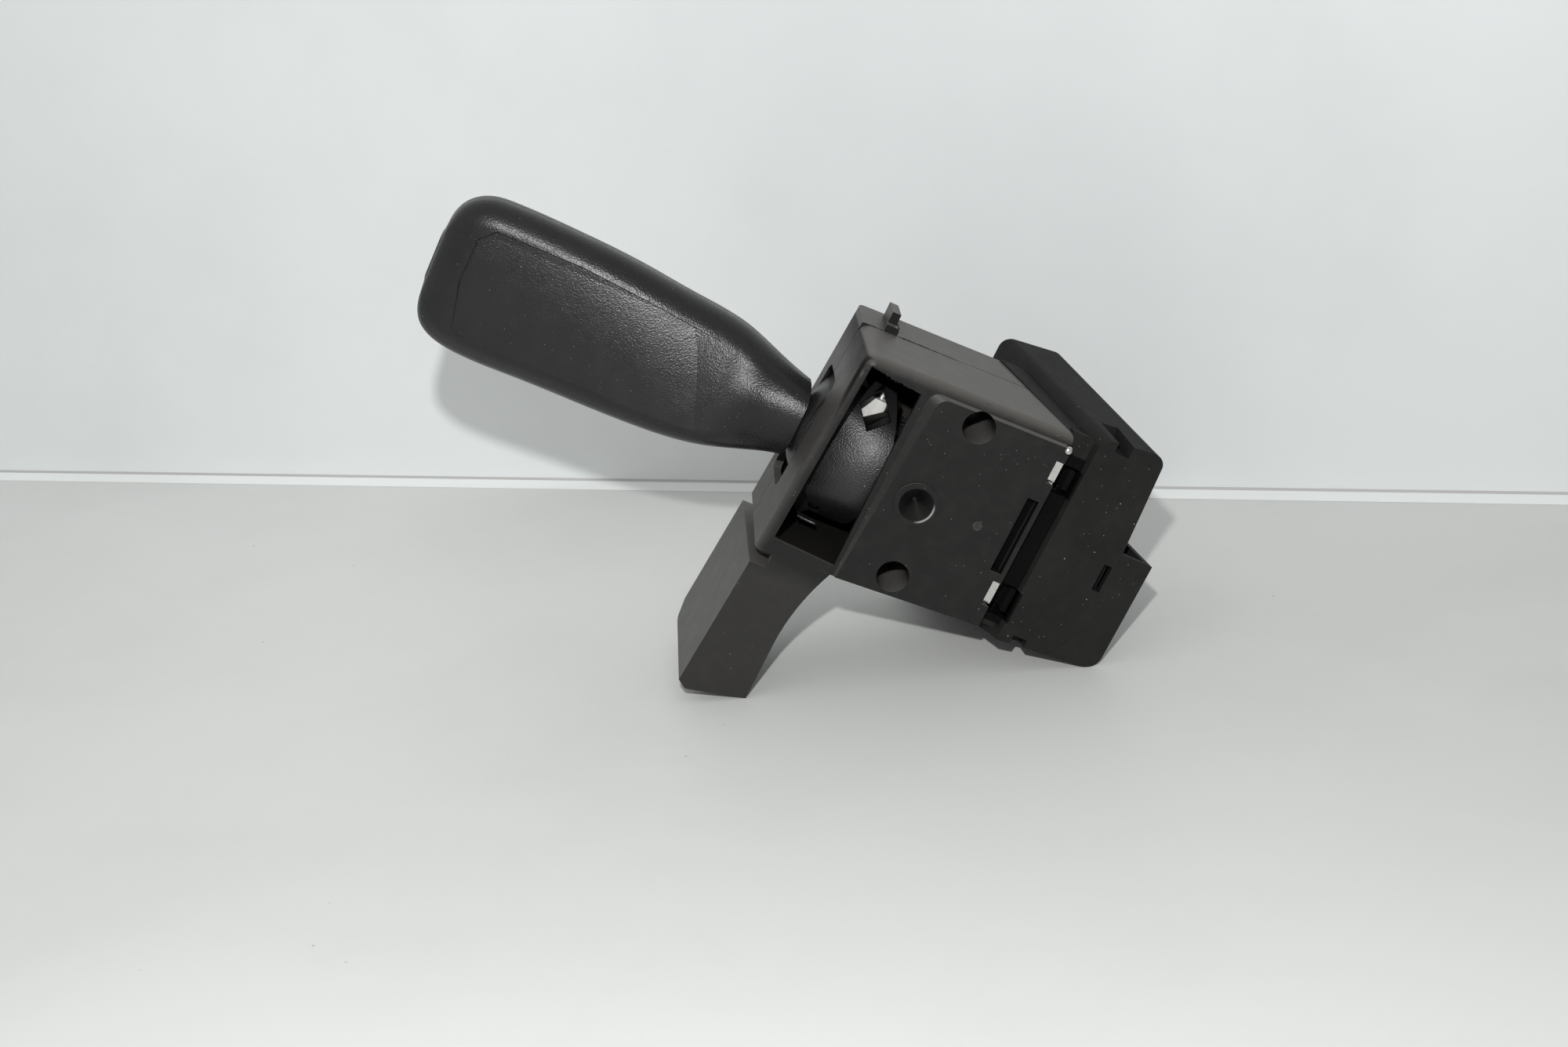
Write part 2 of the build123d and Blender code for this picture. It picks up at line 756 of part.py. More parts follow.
def handle_section(u, low, high, thickness, inset):
    height = high - low - 2 * inset
    depth = thickness - 2 * inset
    plane = Plane((u, stalk_y, (low + high) / 2), x_dir=(0, 1, 0), z_dir=(1, 0, 0))
    return plane * RectangleRounded(depth, height, 0.42 * depth)


def handle_form(inset=0.0, hollow=False):
    sections = [
        (-36.0, -34.3, -14.3, 12.6),
        (-41.0, -35.0, -12.7, 12.8),
        (-49.0, -37.5, -10.1, 14.0),
        (-60.0, -40.8, -6.3, 15.4),
        (-76.0, -42.7, -4.2, 15.6),
        (-92.0, -43.1, -2.5, 15.6),
        (-110.0, -43.3, -1.6, 15.6),
        (-127.0, -43.4, -1.5, 15.6),
        (-134.5, -41.9, -2.8, 15.0),
        (-138.6, -39.1, -5.9, 12.4),
        (-140.7, -33.8, -10.7, 8.4),
        (-141.4, -28.2, -15.6, 4.6),
    ]
    faces = []
    for u, low, high, thickness in sections:
        if hollow and not -134 < u < -60:
            continue
        faces.append(handle_section(u, low, high, thickness, inset))
    return loft(faces)


def handle_recess():
    outline = make_face(
        Spline((-56.0, -32.0), (-56.0, -14.6), tangents=[(0, 1), (0, 1)]).edges()
        + Polyline((-56.0, -14.6), (-66.0, -11.2), (-83.5, -9.3), (-105.6, -7.6), (-129.0, -8.0),
                   (-132.6, -12.0), (-132.9, -24.0), (-130.0, -37.0), (-56.0, -39.0), (-56.0, -32.0)).edges()
    )
    front = stalk_y - 7.8
    floor = front + recess_depth
    wedge = polygon((front - 5, 0), (floor, 0), (floor, -10), (front - 0.2, -41), (front - 5, -41))
    rise = Spline((-76.0, floor), (-56.0, front - 0.4), tangents=[(1, 0), (1, 0)])
    rest = Polyline(
        (-56.0, front - 0.4), (-56.0, front - 5), (-140.0, front - 5), (-140.0, floor), (-76.0, floor)
    )
    ramp = make_face(rise.edges() + rest.edges())
    tool = prism(outline, front - 4, front + 6) & along_stalk(wedge, -140, -50)
    return tool & (Pos(0, 0, -50) * extrude(ramp, 60, dir=(0, 0, 1)))


def handle_half(front_side):
    if front_side:
        side = bar(-150, -30, 0, stalk_y, -60, 20)
        side -= bar(-150, -30, stalk_y - seam_width, stalk_y, -60, 20) - handle_form(seam_depth)
    else:
        side = bar(-150, -30, stalk_y, 60, -60, 20)
    body = (handle_form() & side) - handle_form(handle_wall, True)
    body -= Pos(pull_u, stalk_y, swing_w) * Cylinder(neck_radius, 60)
    body -= bar(core_end, -30, stalk_y - core_thickness / 2, stalk_y + core_thickness / 2,
                swing_w - core_width / 2, swing_w + core_width / 2)
    return body


def handle_front_shell():
    return handle_half(True) - handle_recess()


def handle_rear_shell():
    return handle_half(False)


# Contact sliders and fixed contacts

def swing_slider():
    middle = swing_w + drive_offset
    front = cheek_rear + slider_gap
    body = bar(swing_u - slider_length / 2, swing_u + slider_length / 2, front, front + slider_thickness,
               middle - slider_height / 2, middle + slider_height / 2)
    slot = bar(swing_u - drive_pin_radius - running_gap, swing_u + drive_pin_radius + running_gap,
               front - 1, front + slider_thickness + 1, middle - 2.7, middle + 2.7)
    return body - slot


def swing_contact_bridge():
    rear = cheek_rear + slider_gap + slider_thickness
    middle = swing_w + drive_offset
    strip = bar(swing_u - 8.5, swing_u - 4.0, rear, rear + 0.3, middle - 4, middle + 4)
    for w in (middle - 3, middle + 3):
        strip += bar(swing_u - 7.0, swing_u - 5.6, rear + 0.3, board_front - 0.15, w - 0.8, w + 0.8)
    return strip


def contact_board():
    rear = base_depth - 6
    beyond = taper(connector_board_outline(8, 20), 8, connector_board_outline(rear, 20), rear)
    return contact_board_form() - beyond


def fixed_contacts():
    middle = swing_w + drive_offset
    shapes = []
    for w in (middle - 3, middle + 3):
        shapes.append(bar(-19, 16, board_front - 0.1, board_front, w - 1, w + 1))
    return shapes


def pull_slider():
    body = rod(swing_u, swing_w, slider_bore - running_gap, stalk_y - 5.1, housing_depth - 4.6)
    body -= bar(swing_u - 6, swing_u + ball_radius + 0.3, stalk_y - ball_radius - running_gap,
                stalk_y + ball_radius + running_gap, swing_w - 6, swing_w + 6)
    body -= rod(swing_u, swing_w, 2.1, sleeve_front - 0.6, housing_depth)
    return body


def pull_contact_sleeve():
    return tube(swing_u, swing_w, 2.08, contact_pin_radius + 0.08, sleeve_front, housing_depth - 4.8)


def pull_contact_pin():
    body = rod(swing_u, swing_w, contact_pin_radius, sleeve_front + 1, housing_depth - wall)
    body += rod(swing_u, swing_w, 2.6, housing_depth - wall - 1.2, housing_depth - wall)
    return body


def place(shape):
    return Rot(0, stand_tilt, 0) * shape


def main():
    os.makedirs("parts", exist_ok=True)
    nodes = [
        housing_front, housing_rear, fixing_sleeves, base_block, base_cover, retaining_strip,
        connector_board, connector_blades, detent_track, carrier, dust_shield, pull_pin,
        return_spring, detent_plunger, detent_spring, lever_core, handle_front_shell,
        handle_rear_shell, swing_slider, swing_contact_bridge, contact_board, fixed_contacts,
        pull_slider, pull_contact_sleeve, pull_contact_pin,
    ]
    for node in nodes:
        made = node()
        shapes = made if isinstance(made, list) else [made]
        solids = [solid for shape in shapes for solid in shape.solids()]
        print(node.__name__, len(solids), "solids", round(sum(solid.volume for solid in solids)), "mm3")
        export_step(place(Compound(solids)), "parts/" + node.__name__ + ".step")


main()
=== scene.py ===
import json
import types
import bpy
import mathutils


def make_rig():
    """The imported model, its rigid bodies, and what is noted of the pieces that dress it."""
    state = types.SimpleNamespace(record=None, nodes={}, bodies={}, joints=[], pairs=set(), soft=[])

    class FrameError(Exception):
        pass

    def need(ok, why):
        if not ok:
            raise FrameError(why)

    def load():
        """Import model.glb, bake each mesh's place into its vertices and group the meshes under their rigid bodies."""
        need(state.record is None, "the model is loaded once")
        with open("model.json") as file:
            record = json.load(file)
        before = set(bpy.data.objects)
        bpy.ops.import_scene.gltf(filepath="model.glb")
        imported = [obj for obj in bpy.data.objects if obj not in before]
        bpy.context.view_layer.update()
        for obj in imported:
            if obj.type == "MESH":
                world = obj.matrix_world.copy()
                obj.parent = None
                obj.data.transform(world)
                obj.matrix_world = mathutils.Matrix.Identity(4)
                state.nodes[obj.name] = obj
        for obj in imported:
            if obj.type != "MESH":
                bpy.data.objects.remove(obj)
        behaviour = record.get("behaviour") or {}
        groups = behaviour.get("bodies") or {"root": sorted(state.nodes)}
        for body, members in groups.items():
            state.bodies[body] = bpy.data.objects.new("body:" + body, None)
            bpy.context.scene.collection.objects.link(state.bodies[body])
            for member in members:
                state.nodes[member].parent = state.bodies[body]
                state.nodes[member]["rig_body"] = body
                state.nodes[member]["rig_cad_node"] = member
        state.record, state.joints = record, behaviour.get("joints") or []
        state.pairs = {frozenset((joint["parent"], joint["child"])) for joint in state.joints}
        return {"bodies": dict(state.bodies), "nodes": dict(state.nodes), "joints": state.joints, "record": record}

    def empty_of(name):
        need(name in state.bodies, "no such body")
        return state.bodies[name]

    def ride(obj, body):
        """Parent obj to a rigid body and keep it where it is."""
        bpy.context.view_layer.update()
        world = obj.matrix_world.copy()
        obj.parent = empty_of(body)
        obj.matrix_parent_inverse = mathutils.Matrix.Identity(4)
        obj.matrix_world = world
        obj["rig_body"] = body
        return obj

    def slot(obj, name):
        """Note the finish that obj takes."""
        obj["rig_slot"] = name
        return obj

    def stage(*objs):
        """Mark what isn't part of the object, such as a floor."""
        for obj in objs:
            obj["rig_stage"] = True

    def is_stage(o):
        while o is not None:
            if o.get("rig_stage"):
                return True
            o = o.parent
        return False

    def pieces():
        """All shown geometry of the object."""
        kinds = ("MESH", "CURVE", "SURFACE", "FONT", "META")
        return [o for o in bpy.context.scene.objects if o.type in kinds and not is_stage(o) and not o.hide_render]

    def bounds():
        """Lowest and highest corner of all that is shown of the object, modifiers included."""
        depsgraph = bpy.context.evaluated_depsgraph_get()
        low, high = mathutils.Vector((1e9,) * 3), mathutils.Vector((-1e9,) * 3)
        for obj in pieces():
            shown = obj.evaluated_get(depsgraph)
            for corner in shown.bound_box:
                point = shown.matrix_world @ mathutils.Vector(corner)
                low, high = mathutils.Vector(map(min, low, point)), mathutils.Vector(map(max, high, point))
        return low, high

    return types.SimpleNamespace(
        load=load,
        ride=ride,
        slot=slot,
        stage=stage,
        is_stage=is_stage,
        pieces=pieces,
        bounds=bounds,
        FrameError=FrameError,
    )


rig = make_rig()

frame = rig.load()

import json
import math
import random
import bmesh
import bpy
from mathutils import Matrix, Vector

with open("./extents.json", "w") as sizeFile:
    json.dump({"start": [list(corner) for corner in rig.bounds()]}, sizeFile)

# The switch stands turned about Y by this angle; its own axes are u along the stalk, y and w (mm)
standTilt = 29.83505


def placed(u, y, w):
    turn = math.radians(standTilt)
    x = u * math.cos(turn) + w * math.sin(turn)
    z = w * math.cos(turn) - u * math.sin(turn)
    return Vector((x, y, z)) / 1000


# Camera: a 49 mm lens half a metre in front, looking down on the switch and rolled a little
camera = {
    "place": (-0.0512, -0.5041, 0.1730),
    "right": (0.9954, -0.0344, -0.0895),
    "up": (0.0958, 0.3567, 0.9293),
    "lens": 48.6, "sensor": 36, "nearest": 0.01,
}


def makeCamera():
    lens = bpy.data.cameras.new("viewCamera")
    lens.sensor_width = camera["sensor"]
    lens.sensor_fit = "HORIZONTAL"
    lens.lens = camera["lens"]
    lens.clip_start = camera["nearest"]
    eye = bpy.data.objects.new("viewCamera", lens)
    right = Vector(camera["right"]).normalized()
    up = Vector(camera["up"])
    back = right.cross(up).normalized()
    up = back.cross(right)
    turn = Matrix((right, up, back)).transposed().to_4x4()
    eye.matrix_world = Matrix.Translation(camera["place"]) @ turn
    bpy.context.collection.objects.link(eye)
    bpy.context.scene.camera = eye
    print("camera placed")


# Shader helpers

def add(tree, kind, **settings):
    node = tree.nodes.new(kind)
    for name, value in settings.items():
        setattr(node, name, value)
    return node


def feed(tree, target, source):
    if isinstance(source, bpy.types.NodeSocket):
        tree.links.new(source, target)
    elif isinstance(source, tuple) and len(source) == 3 and target.type == "RGBA":
        target.default_value = (*source, 1)
    else:
        target.default_value = source


def calc(tree, operation, first, second=None, third=None):
    node = add(tree, "ShaderNodeMath", operation=operation)
    for socket, value in zip(node.inputs, (first, second, third)):
        if value is not None:
            feed(tree, socket, value)
    return node.outputs[0]


def vectorCalc(tree, operation, first, second=None):
    node = add(tree, "ShaderNodeVectorMath", operation=operation)
    feed(tree, node.inputs[0], first)
    if second is not None:
        feed(tree, node.inputs[1], second)
    return node.outputs["Value" if operation in ("DISTANCE", "DOT_PRODUCT") else "Vector"]


def axes(tree, vector):
    node = add(tree, "ShaderNodeSeparateXYZ")
    feed(tree, node.inputs[0], vector)
    return node.outputs


def bumped(tree, height, distance, normal=None):
    node = add(tree, "ShaderNodeBump")
    feed(tree, node.inputs["Height"], height)
    feed(tree, node.inputs["Distance"], distance)
    if normal is not None:
        feed(tree, node.inputs["Normal"], normal)
    return node.outputs["Normal"]


def ramp(tree, value, low, high, start=0.0, end=1.0):
    node = add(tree, "ShaderNodeMapRange", interpolation_type="SMOOTHSTEP")
    for name, source in (("Value", value), ("From Min", low), ("From Max", high),
                         ("To Min", start), ("To Max", end)):
        feed(tree, node.inputs[name], source)
    return node.outputs[0]


def blendColour(tree, share, first, second):
    node = add(tree, "ShaderNodeMix", data_type="RGBA")
    feed(tree, node.inputs["Factor"], share)
    feed(tree, node.inputs["A"], first)
    feed(tree, node.inputs["B"], second)
    return node.outputs["Result"]


def stretched(tree, vector, scale):
    node = add(tree, "ShaderNodeMapping")
    feed(tree, node.inputs["Vector"], vector)
    node.inputs["Scale"].default_value = scale
    return node.outputs[0]


def noise(tree, vector, scale, detail=2.0, roughness=0.5):
    node = add(tree, "ShaderNodeTexNoise")
    feed(tree, node.inputs["Vector"], vector)
    feed(tree, node.inputs["Scale"], scale)
    node.inputs["Detail"].default_value = detail
    node.inputs["Roughness"].default_value = roughness
    return node.outputs["Fac"]


def newGroup(name, inputs, outputs):
    tree = bpy.data.node_groups.new(name, "ShaderNodeTree")
    for label, kind, value in inputs:
        socket = tree.interface.new_socket(label, in_out="INPUT", socket_type=kind)
        if value is not None:
            socket.default_value = value
    for label, kind in outputs:
        tree.interface.new_socket(label, in_out="OUTPUT", socket_type=kind)
    return tree, add(tree, "NodeGroupInput").outputs, add(tree, "NodeGroupOutput").inputs


def useGroup(tree, group, **values):
    node = add(tree, "ShaderNodeGroup", node_tree=group)
    for label, value in values.items():
        feed(tree, node.inputs[label], value)
    return node.outputs


def newMaterial(name):
    material = bpy.data.materials.new(name)
    material.use_nodes = True
    nodes = material.node_tree.nodes
    nodes.clear()
    shader = nodes.new("ShaderNodeBsdfPrincipled")
    output = nodes.new("ShaderNodeOutputMaterial")
    material.node_tree.links.new(shader.outputs["BSDF"], output.inputs["Surface"])
    return material, material.node_tree, shader


# Shared effects, measured in millimetres along the switch's own axes

groups = {}


def makeSwitchPlace():
    tree, _, result = newGroup("switchPlace", [], [("Place", "NodeSocketVector")])
    where = add(tree, "ShaderNodeTexCoord")
    turn = add(tree, "ShaderNodeVectorRotate", rotation_type="Y_AXIS")
    feed(tree, turn.inputs["Vector"], where.outputs["Object"])
    turn.inputs["Angle"].default_value = -math.radians(standTilt)
    feed(tree, result["Place"], stretched(tree, turn.outputs[0], (1000, 1000, 1000)))
    return tree


def switchPlace(tree):
    return useGroup(tree, groups["place"])["Place"]


def makeSpecks():
    tree, given, result = newGroup("dustSpecks", [
        ("Place", "NodeSocketVector", None), ("Cells", "NodeSocketFloat", 0.5),
        ("Size", "NodeSocketFloat", 0.07), ("Share", "NodeSocketFloat", 0.3),
    ], [("Mask", "NodeSocketFloat")])
    cells = add(tree, "ShaderNodeTexVoronoi")
    feed(tree, cells.inputs["Vector"], given["Place"])
    feed(tree, cells.inputs["Scale"], given["Cells"])
    pick = add(tree, "ShaderNodeSeparateColor")
    feed(tree, pick.inputs[0], cells.outputs["Color"])
    chosen = calc(tree, "LESS_THAN", pick.outputs[0], given["Share"])
    size = calc(tree, "MULTIPLY", given["Size"], ramp(tree, pick.outputs[1], 0, 1, 0.4, 1.2))
    edge = ramp(tree, noise(tree, given["Place"], 6.0), 0, 1, -0.03, 0.03)
    ragged = calc(tree, "ADD", cells.outputs["Distance"], edge)
    near = calc(tree, "LESS_THAN", ragged, size)
    feed(tree, result["Mask"], calc(tree, "MULTIPLY", near, chosen))
    return tree


def makeSpot():
    tree, given, result = newGroup("roundSpot", [
        ("Place", "NodeSocketVector", None), ("Centre", "NodeSocketVector", None),
        ("Radius", "NodeSocketFloat", 1.0), ("Soft", "NodeSocketFloat", 0.2),
    ], [("Mask", "NodeSocketFloat")])
    apart = vectorCalc(tree, "DISTANCE", given["Place"], given["Centre"])
    inner = calc(tree, "SUBTRACT", given["Radius"], given["Soft"])
    feed(tree, result["Mask"], ramp(tree, apart, inner, given["Radius"], 1.0, 0.0))
    return tree


# What all dark plastics share: a thin oily film, scuffs along and across, two sizes of dust, fine grain, and upward
# faces made paler by a film lying on them together with painted light from above
plasticWear = {
    "mottle": 0.22, "filmAndTopLightTone": (0.19, 0.18, 0.165), "filmAmount": 0.22, "filmShare": 0.16, "filmRough": 0.05,
    "alongStretch": (0.9, 0.6, 0.09), "acrossStretch": (0.35, 3.0, 5.5),
    "scuffTone": (0.16, 0.16, 0.155), "scuffShare": 0.35,
    "dustTone": (0.42, 0.41, 0.38), "dustShare": 0.8, "wearRough": 0.2,
    "speckCells": 0.5, "speckSize": 0.055, "fineCells": 1.6, "fineSize": 0.10, "fineShare": 0.55,
    "pitScale": 1.3, "grainHeight": 0.7, "pitHeight": 0.5, "sinkScale": 0.09, "sinkDepth": 0.00015,
}


def makePlasticLook():
    tree, given, result = newGroup("plasticLook", [
        ("Base", "NodeSocketColor", (0.02, 0.02, 0.02, 1)), ("Rough", "NodeSocketFloat", 0.45),
        ("GrainScale", "NodeSocketFloat", 3.0), ("GrainDepth", "NodeSocketFloat", 0.00001),
        ("Film", "NodeSocketFloat", 0.5), ("TopFilm", "NodeSocketFloat", 0.05),
        ("Dust", "NodeSocketFloat", 0.3), ("Scuffs", "NodeSocketFloat", 0.3),
        ("Shape", "NodeSocketVector", None),
    ], [("Colour", "NodeSocketColor"), ("Roughness", "NodeSocketFloat"), ("Normal", "NodeSocketVector")])
    wear = plasticWear
    place = switchPlace(tree)
    broad = noise(tree, place, 0.045, 3.0)
    blotch = noise(tree, place, 0.21, 6.0, 0.62)
    shade = blendColour(tree, ramp(tree, broad, 0.3, 0.7), given["Base"], (0.0, 0.0, 0.0))
    tone = blendColour(tree, wear["mottle"], given["Base"], shade)
    # Upward faces turn paler: partly a film lying on them, partly painted light from above
    upward = ramp(tree, axes(tree, add(tree, "ShaderNodeNewGeometry").outputs["Normal"])["Z"], 0.1, 0.95)
    smear = calc(tree, "MULTIPLY", ramp(tree, blotch, 0.42, 0.72), wear["filmAmount"])
    film = calc(tree, "MULTIPLY", given["Film"], smear)
    topDustAndLightShare = calc(tree, "MULTIPLY", upward, given["TopFilm"])
    filmAndTopLightShare = calc(tree, "ADD", calc(tree, "MULTIPLY", film, wear["filmShare"]), topDustAndLightShare)
    tone = blendColour(tree, filmAndTopLightShare, tone, wear["filmAndTopLightTone"])

    along = noise(tree, stretched(tree, place, wear["alongStretch"]), 1.0, 6.0, 0.7)
    across = noise(tree, stretched(tree, place, wear["acrossStretch"]), 1.0, 3.0, 0.6)
    scuff = calc(tree, "MULTIPLY", ramp(tree, across, 0.68, 0.74), ramp(tree, along, 0.5, 0.62))
    scuff = calc(tree, "MULTIPLY", scuff, given["Scuffs"])
    tone = blendColour(tree, calc(tree, "MULTIPLY", scuff, wear["scuffShare"]), tone, wear["scuffTone"])

    gathered = ramp(tree, noise(tree, place, 0.08, 2.0), 0.3, 0.75, 0.15, 1.0)
    share = calc(tree, "MULTIPLY", given["Dust"], gathered)
    specks = useGroup(tree, groups["specks"], Place=place, Cells=wear["speckCells"], Size=wear["speckSize"],
                      Share=share)["Mask"]
    fine = useGroup(tree, groups["specks"], Place=place, Cells=wear["fineCells"], Size=wear["fineSize"],
                    Share=calc(tree, "MULTIPLY", share, wear["fineShare"]))["Mask"]
    dirt = calc(tree, "MAXIMUM", specks, fine)
    tone = blendColour(tree, calc(tree, "MULTIPLY", dirt, wear["dustShare"]), tone, wear["dustTone"])
    feed(tree, result["Colour"], tone)

    rough = calc(tree, "ADD", given["Rough"], ramp(tree, blotch, 0.3, 0.7, -0.025, 0.03))
    worn = calc(tree, "MULTIPLY", calc(tree, "ADD", scuff, dirt), wear["wearRough"])
    rough = calc(tree, "ADD", rough, worn)
    feed(tree, result["Roughness"], calc(tree, "ADD", rough, calc(tree, "MULTIPLY", film, wear["filmRough"])))

    grain = noise(tree, place, given["GrainScale"], 1.0, 0.5)
    pits = add(tree, "ShaderNodeTexVoronoi", feature="SMOOTH_F1")
    feed(tree, pits.inputs["Vector"], place)
    feed(tree, pits.inputs["Scale"], calc(tree, "MULTIPLY", given["GrainScale"], wear["pitScale"]))
    relief = calc(tree, "ADD", calc(tree, "MULTIPLY", grain, wear["grainHeight"]),
                  calc(tree, "MULTIPLY", pits.outputs["Distance"], wear["pitHeight"]))
    grained = bumped(tree, relief, given["GrainDepth"], given["Shape"])
    sunk = bumped(tree, noise(tree, place, wear["sinkScale"], 2.0), wear["sinkDepth"], grained)
    feed(tree, result["Normal"], sunk)
    return tree


# A normal that leans and curves as if a flat front face were crowned; other faces keep their own
def makeCrownedNormal():
    tree, given, result = newGroup("crownedNormal", [
        ("Centre", "NodeSocketVector", (0, 0, 0)), ("Rise", "NodeSocketVector", (0, 0, 0)),
        ("Side", "NodeSocketVector", (0, 0, 0)), ("Lean", "NodeSocketVector", (0, 0, 0)),
        ("Limit", "NodeSocketFloat", 0.5),
    ], [("Normal", "NodeSocketVector")])
    away = vectorCalc(tree, "SUBTRACT", switchPlace(tree), given["Centre"])
    lean = axes(tree, given["Lean"])
    face = add(tree, "ShaderNodeNewGeometry").outputs["Normal"]
    front = ramp(tree, calc(tree, "MULTIPLY", axes(tree, face)["Y"], -1.0), 0.72, 0.97)
    lowest = calc(tree, "MULTIPLY", given["Limit"], -1.0)
    alongU, alongW = placed(1000, 0, 0), placed(0, 0, 1000)
    total = face
    for slope, axis, way in ((given["Side"], "X", alongU), (given["Rise"], "Z", alongW)):
        tilt = calc(tree, "ADD", vectorCalc(tree, "DOT_PRODUCT", away, slope), lean[axis])
        tilt = calc(tree, "MAXIMUM", calc(tree, "MINIMUM", tilt, given["Limit"]), lowest)
        turn = add(tree, "ShaderNodeVectorMath", operation="SCALE")
        turn.inputs[0].default_value = way
        feed(tree, turn.inputs["Scale"], calc(tree, "MULTIPLY", tilt, front))
        total = vectorCalc(tree, "ADD", total, turn.outputs[0])
    feed(tree, result["Normal"], vectorCalc(tree, "NORMALIZE", total))
    return tree


metalWear = {
    "lineTone": (0.3, 0.295, 0.285), "lineDepth": 0.000006,
    "stainTone": (0.2, 0.165, 0.12), "stainShare": 0.6, "stainRough": 0.25,
}


def makeMetalLook():
    tree, given, result = newGroup("metalLook", [
        ("Base", "NodeSocketColor", (0.6, 0.6, 0.6, 1)), ("Rough", "NodeSocketFloat", 0.3),
        ("Lines", "NodeSocketVector", None), ("Stain", "NodeSocketFloat", 0.4),
    ], [("Colour", "NodeSocketColor"), ("Roughness", "NodeSocketFloat"), ("Normal", "NodeSocketVector")])
    wear = metalWear
    place = switchPlace(tree)
    lines = noise(tree, vectorCalc(tree, "MULTIPLY", place, given["Lines"]), 1.0, 4.0, 0.6)
    blotch = noise(tree, place, 0.9, 5.0, 0.65)
    spots = ramp(tree, noise(tree, place, 2.3, 3.0), 0.6, 0.72)
    stain = calc(tree, "MAXIMUM", ramp(tree, blotch, 0.48, 0.7), spots)
    stain = calc(tree, "MULTIPLY", given["Stain"], stain)
    tone = blendColour(tree, ramp(tree, lines, 0.35, 0.65, 0.0, 0.3), given["Base"], wear["lineTone"])
    tone = blendColour(tree, calc(tree, "MULTIPLY", stain, wear["stainShare"]), tone, wear["stainTone"])
    feed(tree, result["Colour"], tone)
    rough = calc(tree, "ADD", given["Rough"], ramp(tree, lines, 0.3, 0.7, -0.07, 0.09))
    rough = calc(tree, "ADD", rough, calc(tree, "MULTIPLY", stain, wear["stainRough"]))
    feed(tree, result["Roughness"], rough)
    feed(tree, result["Normal"], bumped(tree, lines, wear["lineDepth"]))
    return tree


whiteWear = {
    "agedTone": (0.5, 0.485, 0.43), "greaseTone": (0.2, 0.19, 0.16), "greaseShare": 0.45, "greaseGloss": 0.3,
    "markStretch": (0.4, 4.0, 4.0), "markRough": 0.2, "markHeight": 0.2, "unevenDepth": 0.00002,
}


def makeWhiteLook():
    tree, given, result = newGroup("whiteLook", [
        ("Base", "NodeSocketColor", (0.7, 0.7, 0.66, 1)), ("Rough", "NodeSocketFloat", 0.38),
    ], [("Colour", "NodeSocketColor"), ("Roughness", "NodeSocketFloat"), ("Normal", "NodeSocketVector")])
    wear = whiteWear
    place = switchPlace(tree)
    blotch = noise(tree, place, 0.35, 5.0, 0.6)
    marks = ramp(tree, noise(tree, stretched(tree, place, wear["markStretch"]), 1.0, 3.0), 0.62, 0.7)
    tone = blendColour(tree, ramp(tree, blotch, 0.35, 0.75, 0.0, 0.5), given["Base"], wear["agedTone"])
    darkening = ramp(tree, noise(tree, place, 0.8, 4.0), 0.6, 0.74)
    darkening = calc(tree, "MULTIPLY", darkening, wear["greaseShare"])
    feed(tree, result["Colour"], blendColour(tree, darkening, tone, wear["greaseTone"]))
    rough = calc(tree, "ADD", given["Rough"], calc(tree, "MULTIPLY", marks, wear["markRough"]))
    rough = calc(tree, "SUBTRACT", rough, calc(tree, "MULTIPLY", darkening, wear["greaseGloss"]))
    feed(tree, result["Roughness"], rough)
    height = calc(tree, "ADD", noise(tree, place, 1.6, 3.0), calc(tree, "MULTIPLY", marks, wear["markHeight"]))
    feed(tree, result["Normal"], bumped(tree, height, wear["unevenDepth"]))
    return tree


def finishWith(tree, shader, look):
    feed(tree, shader.inputs["Base Color"], look["Colour"])
    feed(tree, shader.inputs["Roughness"], look["Roughness"])
    feed(tree, shader.inputs["Normal"], look["Normal"])


for groupName, makeGroup in (
    ("place", makeSwitchPlace), ("specks", makeSpecks), ("spot", makeSpot), ("crown", makeCrownedNormal),
    ("plastic", makePlasticLook), ("metal", makeMetalLook), ("white", makeWhiteLook),
):
    groups[groupName] = makeGroup()
print("shader groups made")


def plasticMaterial(name, values, shape=None):
    material, tree, shader = newMaterial(name)
    normal = shape(tree) if shape else add(tree, "ShaderNodeNewGeometry").outputs["Normal"]
    look = useGroup(tree, groups["plastic"], Base=values["base"], Rough=values["rough"],
                    GrainScale=values["grainScale"], GrainDepth=values["grainDepth"],
                    Film=values["film"], TopFilm=values["topDustAndLight"],
                    Dust=values["dust"], Scuffs=values["scuffs"], Shape=normal)
    finishWith(tree, shader, look)
    shader.inputs["Specular IOR Level"].default_value = values["specular"]
    return material, tree, shader, look


# Housing plastic, paler towards the wing tip, with the pushed-out pin's mark and the turned dimple on the plate; the
# dimple has painted shade inside and a painted highlight on a crescent of its rim
housingFinish = {
    "base": (0.0075, 0.0073, 0.0072), "rough": 0.45, "grainScale": 1.8, "grainDepth": 0.000012,
    "film": 0.6, "topDustAndLight": 0.45, "dust": 0.3, "scuffs": 0.5, "specular": 0.24,
}
wingTipPaling = {"low": -60.0, "high": -52.0, "share": 0.08, "tone": (0.19, 0.18, 0.17)}
pinMark = {
    "centre": (11.4, 0.0, -23.8), "radius": 1.35, "soft": 0.25,
    "core": 1.0125, "coreSoft": 0.3, "coreShare": 0.45, "tone": (0.055, 0.055, 0.054),
}
# The dimple's tone and share paint shade inside it; the rim values paint a highlight on a crescent of its rim
dimple = {
    "centre": (-5.6, 0.0, -24.9), "inner": 4.35, "outer": 4.65, "tone": (0.003, 0.003, 0.003), "share": 0.9,
    "gloss": 0.2, "ringPitch": 31.0, "ringDepth": 0.000014,
    "rimIn": 0.92, "rimOut": 1.09, "rimHighlightSide": (0.91, 0, -0.40), "rimHighlightTone": (0.30, 0.30, 0.29),
}
